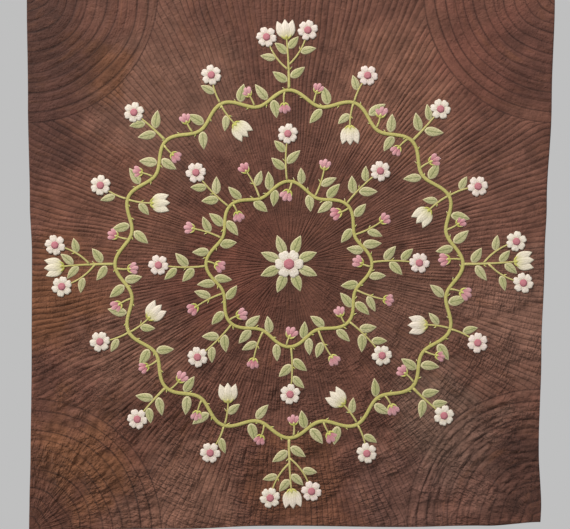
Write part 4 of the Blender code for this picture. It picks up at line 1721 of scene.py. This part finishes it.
def quilted_material(name, mottling, line_shade, crinkle_depth):
    """Dyed and quilted cotton."""
    material = bpy.data.materials.new(name)
    material.use_nodes = True
    tree = material.node_tree
    shader = tree.nodes["Principled BSDF"]
    place = put(tree, "ShaderNodeTexCoord").outputs["Object"]
    given = {name.capitalize(): mark(tree, name) for name in RUN_MARKS}
    given.update({"Place": place, "Mottling": mottling, "Line shade": line_shade})
    sewn = put(tree, "ShaderNodeGroup", given, node_tree=quilting)
    colour = cloud_colour(tree, place)
    colour = tinted(tree, colour, sewn.outputs["Rust"], RUST_SHARE, RUST)
    colour = mixed(tree, 1.0, colour, grey(tree, sewn.outputs["Value"]), "MULTIPLY")
    colour = tinted(tree, colour, sewn.outputs["Thread"], THREAD_SHARE, THREAD)
    tree.links.new(colour, shader.inputs["Base Color"])
    threads = woven_threads(tree, place)
    crinkle = put(tree, "ShaderNodeBump", {"Height": sewn.outputs["Crinkle"], "Distance": crinkle_depth})
    sunk = put(
        tree, "ShaderNodeBump",
        {"Height": sewn.outputs["Thread"], "Distance": 0.0004, "Strength": 0.8, "Normal": crinkle.outputs[0]},
        invert=True,
    )
    woven = put(
        tree, "ShaderNodeBump",
        {"Height": threads, "Distance": 0.00012, "Strength": 0.7, "Normal": sunk.outputs[0]},
    )
    tree.links.new(woven.outputs[0], shader.inputs["Normal"])
    shader.inputs["Roughness"].default_value = 0.86
    shader.inputs["Specular IOR Level"].default_value = 0.15
    shader.inputs["Sheen Weight"].default_value = 0.04
    shader.inputs["Sheen Roughness"].default_value = 0.5
    return material


ground_cloth = quilted_material("dyed ground", mottling=1.0, line_shade=0.54, crinkle_depth=0.0110)
backing_cloth = quilted_material("dyed backing", mottling=0.5, line_shade=0.40, crinkle_depth=0.0050)
print("ground materials have", len(ground_cloth.node_tree.nodes), "nodes")

# %% [markdown]
# Every patch is held by small stitches just inside its edge, so leaves, stems and flowers share a stitch
# group. It needs the length along the edge and how far out a point lies, and gives a mask of dashes.

# %% The stitch group
EDGE_STITCH = 0.0042
STITCHED_AT = 0.90
STITCHES_SHOW = 0.7


def build_stitches():
    """Small stitches that hold a patch's edge down, as a mask."""
    group, given, result = new_group(
        "edge stitches",
        [("Along", "NodeSocketFloat", None), ("Out", "NodeSocketFloat", None)],
        [("Mask", "NodeSocketFloat")],
    )
    turn = maths(group, "MULTIPLY", given.outputs["Along"], 2 * math.pi / EDGE_STITCH)
    dash = ramp(group, maths(group, "SINE", turn), 0.15, 0.55)
    away = maths(group, "ABSOLUTE", maths(group, "SUBTRACT", given.outputs["Out"], STITCHED_AT))
    near = ramp(group, away, 0.055, 0.025)
    group.links.new(maths(group, "MULTIPLY", dash, near), result.inputs["Mask"])
    return group


def stitched(tree, colour, along, out, thread, share=STITCHES_SHOW):
    """That colour with a row of edge stitches on it."""
    mask = put(tree, "ShaderNodeGroup", {"Along": along, "Out": out}, node_tree=stitches).outputs["Mask"]
    return tinted(tree, colour, mask, share, thread)


stitches = build_stitches()
print("stitch group:", [s.name for s in stitches.interface.items_tree])

# %% [markdown]
# Each patch cloth is painted by one short function, so that their differences are easy to see side by side.

# %% The patch cloth
def patch_material(name, paint, roughness=0.80, sheen=0.10):
    """Woven cotton whose colour comes from paint(tree, place)."""
    material = bpy.data.materials.new(name)
    material.use_nodes = True
    tree = material.node_tree
    shader = tree.nodes["Principled BSDF"]
    place = put(tree, "ShaderNodeTexCoord").outputs["Object"]
    tree.links.new(paint(tree, place), shader.inputs["Base Color"])
    threads = woven_threads(tree, place)
    soft = put(tree, "ShaderNodeTexNoise", {"Vector": place, "Scale": 160.0, "Detail": 3.0})
    puckers = put(tree, "ShaderNodeBump", {"Height": soft.outputs[0], "Distance": 0.0016, "Strength": 0.8})
    woven = put(
        tree, "ShaderNodeBump",
        {"Height": threads, "Distance": 0.0001, "Strength": 0.6, "Normal": puckers.outputs[0]},
    )
    tree.links.new(woven.outputs[0], shader.inputs["Normal"])
    shader.inputs["Roughness"].default_value = roughness
    shader.inputs["Specular IOR Level"].default_value = 0.3
    shader.inputs["Sheen Weight"].default_value = sheen
    return material


print("patch cloth ready")

# %% [markdown]
# A sage leaf has a dark midrib, slanting veins and a paler rim, with painted shade along its outermost edge.
# A stem is a yellower green, with a painted highlight along its crest and painted shade where its edge turns
# under. Sepals and thorns are cut from the same green and fade to cream at the tip.

# %% Leaf, stem and sepal
LEAF_LENGTH = 0.065
SAGE, PALE_SAGE = seen(184, 182, 128), seen(202, 195, 152)
SAGE_SHADE = seen(150, 152, 98)
VEIN = seen(104, 116, 62)
LEAF_RIM, LEAF_EDGE_SHADE = seen(220, 208, 168), seen(120, 104, 62)
LEAF_THREAD = seen(150, 146, 92)
LIME, PALE_LIME = seen(176, 172, 86), seen(200, 188, 124)
LIME_SHADE = seen(160, 154, 72)
STEM_CREST_HIGHLIGHT, STEM_EDGE_SHADE = seen(208, 200, 136), seen(104, 92, 42)
STEM_THREAD = seen(126, 118, 58)
SEPAL, PALE_SEPAL, SEPAL_TIP = seen(182, 182, 84), seen(200, 194, 110), seen(232, 220, 186)


def paint_leaf(tree, place):
    """Sage with veins, a pale rim, painted shade at its very edge and a tone of its own."""
    up, across, out, tone = [mark(tree, n) for n in PATCH_MARKS]
    colour = mixed(tree, tone, SAGE, PALE_SAGE)
    mottle = put(tree, "ShaderNodeGroup", {"Place": place, "Size": 0.03, "Sharpness": 0.2}, node_tree=dye)
    colour = tinted(tree, colour, mottle.outputs["Mask"], 0.55, SAGE_SHADE)
    aside = maths(tree, "ABSOLUTE", across)
    rows = maths(tree, "SUBTRACT", maths(tree, "MULTIPLY", up, 5.0), maths(tree, "MULTIPLY", aside, 1.6))
    vein = ramp(tree, maths(tree, "PINGPONG", rows, 0.5), 0.36, 0.48)
    midrib = ramp(tree, aside, 0.13, 0.05)
    lines = maths(tree, "MAXIMUM", maths(tree, "MULTIPLY", vein, 0.7), midrib)
    lines = maths(tree, "MULTIPLY", lines, ramp(tree, out, 0.86, 0.70))
    colour = tinted(tree, colour, lines, 0.75, VEIN)
    rim = ramp(tree, out, 0.78, 0.88)
    colour = tinted(tree, colour, rim, 0.80, LEAF_RIM)
    along = maths(tree, "MULTIPLY", up, LEAF_LENGTH)
    colour = stitched(tree, colour, along, out, LEAF_THREAD)
    # Painted shade: the outermost edge, where the leaf sinks into the ground, is darkened.
    under = ramp(tree, out, 0.955, 1.0)
    return tinted(tree, colour, under, 0.6, LEAF_EDGE_SHADE)


def paint_stem(tree, place):
    """Yellow-green, paler on thin twigs, with a painted highlight along the middle and painted shade where
    the edge turns under.
    """
    out, tone = mark(tree, "out"), mark(tree, "tone")
    colour = mixed(tree, tone, LIME, PALE_LIME)
    mottle = put(tree, "ShaderNodeGroup", {"Place": place, "Size": 0.045, "Sharpness": 0.2}, node_tree=dye)
    colour = tinted(tree, colour, mottle.outputs["Mask"], 0.5, LIME_SHADE)
    # Painted highlight: paler along the crest of the arched section.
    middle = ramp(tree, out, 0.60, 0.20)
    colour = tinted(tree, colour, middle, 0.35, STEM_CREST_HIGHLIGHT)
    colour = stitched(tree, colour, mark(tree, "up"), out, STEM_THREAD, 0.6)
    # Painted shade: darker towards the edges, where they turn under and meet the ground.
    edge = ramp(tree, out, 0.78, 1.0)
    return tinted(tree, colour, edge, 0.75, STEM_EDGE_SHADE)


def paint_sepal(tree, place):
    """Lime at the foot and cream at the tip."""
    up, tone = mark(tree, "up"), mark(tree, "tone")
    colour = mixed(tree, tone, SEPAL, PALE_SEPAL)
    return mixed(tree, ramp(tree, up, 0.35, 0.95), colour, SEPAL_TIP)


leaf_cloth = patch_material("sage leaf cloth", paint_leaf)
stem_cloth = patch_material("lime stem cloth", paint_stem)
sepal_cloth = patch_material("pale sepal cloth", paint_sepal)
print("green cloths:", [cloth.name for cloth in (leaf_cloth, stem_cloth, sepal_cloth)])

# %% [markdown]
# White flowers are never plain white: daisies warm to rose at the heart, and tulips turn green at the foot.
# Both have creases that fan out from there, darkened with painted shade, and painted shade round their edges.

# %% Petal and tulip
PETAL_LENGTH = 0.030
CREAM, ROSY_CREAM = seen(236, 228, 214), seen(238, 222, 216)
ROSY_FOOT = seen(222, 182, 176)
PETAL_FOLD_SHADE, PETAL_CREASE_SHADE = seen(186, 170, 140), seen(176, 164, 138)
PETAL_SHADE, PETAL_EDGE_SHADE = seen(208, 200, 174), seen(196, 172, 150)
PETAL_THREAD = seen(196, 178, 156)
TULIP_CREAM, TULIP_BLUSH = seen(232, 224, 200), seen(236, 224, 210)
TULIP_CREASE_SHADE, TULIP_GREEN = seen(180, 170, 128), seen(206, 200, 140)
TULIP_EDGE_SHADE, TULIP_THREAD = seen(188, 170, 136), seen(190, 174, 140)


def paint_petal(tree, place):
    """Off-white, rosy towards the foot, with grey-green painted shade in the folds and creases and round the
    edge.
    """
    up, across, out, tone = [mark(tree, n) for n in PATCH_MARKS]
    colour = mixed(tree, tone, CREAM, ROSY_CREAM)
    foot = ramp(tree, up, 0.62, 0.25)
    colour = tinted(tree, colour, foot, 0.5, ROSY_FOOT)
    aside = maths(tree, "ABSOLUTE", across)
    # Painted shade: grey-green between the petals, where they are stitched down low.
    fold_shade = ramp(tree, aside, 0.78, 1.0)
    colour = tinted(tree, colour, fold_shade, 0.5, PETAL_FOLD_SHADE)
    # Painted shade in fine creases across the petals.
    rows = maths(tree, "PINGPONG", maths(tree, "MULTIPLY", across, 1.6), 0.5)
    creases = maths(tree, "MULTIPLY", ramp(tree, rows, 0.12, 0.02), ramp(tree, up, 0.88, 0.55))
    colour = tinted(tree, colour, creases, 0.55, PETAL_CREASE_SHADE)
    soft = put(tree, "ShaderNodeTexNoise", {"Vector": place, "Scale": 110.0, "Detail": 2.0})
    shade = ramp(tree, soft.outputs[0], 0.45, 0.7)
    colour = tinted(tree, colour, shade, 0.35, PETAL_SHADE)
    along = maths(tree, "MULTIPLY", across, PETAL_LENGTH)
    colour = stitched(tree, colour, along, out, PETAL_THREAD)
    # Painted shade round the edge, where the petal meets the ground.
    edge = ramp(tree, out, 0.93, 1.0)
    return tinted(tree, colour, edge, 0.4, PETAL_EDGE_SHADE)


def paint_tulip(tree, place):
    """Cream with painted shade in creases that fan out from the foot, greener there, and painted shade round
    the edge.
    """
    up, across, out, tone = [mark(tree, n) for n in PATCH_MARKS]
    colour = mixed(tree, tone, TULIP_CREAM, TULIP_BLUSH)
    # Painted shade in the creases.
    rows = maths(tree, "PINGPONG", maths(tree, "MULTIPLY", across, 2.4), 0.5)
    creases = maths(tree, "MULTIPLY", ramp(tree, rows, 0.34, 0.48), ramp(tree, up, 0.95, 0.45))
    colour = tinted(tree, colour, creases, 0.5, TULIP_CREASE_SHADE)
    foot = ramp(tree, up, 0.55, 0.10)
    colour = tinted(tree, colour, foot, 0.6, TULIP_GREEN)
    along = maths(tree, "MULTIPLY", up, LEAF_LENGTH)
    colour = stitched(tree, colour, along, out, TULIP_THREAD)
    # Painted shade round the edge, where the petal meets the ground.
    edge = ramp(tree, out, 0.93, 1.0)
    return tinted(tree, colour, edge, 0.45, TULIP_EDGE_SHADE)


petal_cloth = patch_material("cream petal cloth", paint_petal, roughness=0.78)
tulip_cloth = patch_material("cream tulip cloth", paint_tulip, roughness=0.78)
print("white cloths:", [cloth.name for cloth in (petal_cloth, tulip_cloth)])

# %% [markdown]
# Hearts and buds are pink: a heart is deeper at its edge, and a bud is paler towards its tip. The knots are
# pale gold thread, which is a little glossier than cloth.

# %% Heart, bud and knot
ROSE, ROSE_EDGE, PALE_ROSE = seen(192, 116, 128), seen(168, 88, 102), seen(206, 146, 150)
BUD_FOOT, BUD_TIP, PALE_BUD = seen(180, 98, 114), seen(208, 150, 156), seen(216, 172, 174)
GOLD, DEEP_GOLD = seen(226, 206, 140), seen(202, 172, 96)


def paint_heart(tree, place):
    """Rose pink, deeper at the edge."""
    out = mark(tree, "out")
    soft = put(tree, "ShaderNodeTexNoise", {"Vector": place, "Scale": 240.0, "Detail": 2.0})
    colour = mixed(tree, ramp(tree, out, 0.3, 1.0), ROSE, ROSE_EDGE)
    return tinted(tree, colour, soft.outputs[0], 0.4, PALE_ROSE)


def paint_bud(tree, place):
    """Pink, paler towards the tip."""
    up, tone = mark(tree, "up"), mark(tree, "tone")
    colour = mixed(tree, ramp(tree, up, 0.1, 0.9), BUD_FOOT, BUD_TIP)
    return tinted(tree, colour, tone, 0.5, PALE_BUD)


def paint_knot(tree, place):
    """Pale gold thread."""
    grain = put(tree, "ShaderNodeTexNoise", {"Vector": place, "Scale": 900.0, "Detail": 1.0})
    return mixed(tree, grain.outputs[0], GOLD, DEEP_GOLD)


heart_cloth = patch_material("rose heart cloth", paint_heart)
bud_cloth = patch_material("pink bud cloth", paint_bud)
knot_thread = patch_material("gold knot thread", paint_knot, roughness=0.60, sheen=0.0)
print("pinks and gold:", [cloth.name for cloth in (heart_cloth, bud_cloth, knot_thread)])

# %% [markdown]
# ## Pieces
# Every mesh becomes an object that rides on the part's one body and takes its place in the solids' stead.

# %% Make the pieces
def piece(name, bm, material, slot, *nodes):
    """Keeps a finished mesh as a piece of the quilt."""
    thing = keep(name, bm, material)
    thing.data.shade_smooth()
    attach(thing, "root")
    if nodes:
        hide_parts(*nodes)
    return thing


field_piece = piece("quilt_field", field, ground_cloth, "plum_cotton", "quilt")
fan_pieces = [piece(f"quilt_{name}", bm, ground_cloth, "plum_cotton", "quilt") for name, bm in fans.items()]
backing_piece = piece("quilt_backing", backing_mesh, backing_cloth, "plum_cotton", "quilt")
for node, bm in leaf_meshes.items():
    name = node if node == "rosette_leaves" else f"{node}_leaves"
    piece(f"{name}_sewn", bm, leaf_cloth, "sage_cotton", node)
for node, bm in stem_meshes.items():
    piece(f"{node}_stem", bm, stem_cloth, "lime_cotton", node)
for meshes, cloth in ((daisy_meshes, petal_cloth), (tulip_meshes, tulip_cloth)):
    for node, bm in meshes.items():
        piece(f"{node}_petals", bm, cloth, "cream_cotton", node)
piece("flower_hearts", hearts, heart_cloth, "rose_cotton", "rosette_heart")
piece("flower_knots", knots, knot_thread, "cream_cotton")
piece("pink_buds", buds, bud_cloth, "rose_cotton")
piece("sepals_and_thorns", sepals, sepal_cloth, "lime_cotton")

# %% [markdown]
# ## The cloth's area
# The field, the fans and the backing are sheets of cloth, cut flat and hung. The areas of the whole cloth and
# of the rayed field are worked out from their rims.

def flat_area(points):
    """The area inside a closed line of points."""
    pairs = zip(points, points[1:] + points[:1])
    return abs(sum(a.x * b.y - b.x * a.y for a, b in pairs)) / 2


def rim_points(reach):
    """The rim of a disc that reaches that far."""
    return [polar(reach(a), a) for a in (2 * math.pi * i / 720 - math.pi for i in range(720))]


field_area = flat_area(rim_points(lambda a: reach_until(a, on_field)))
cloth_area = flat_area(rim_points(lambda a: reach_until(a, on_cloth)))
print("cloth", round(cloth_area, 3), "square metres, of which the field is", round(field_area, 3))
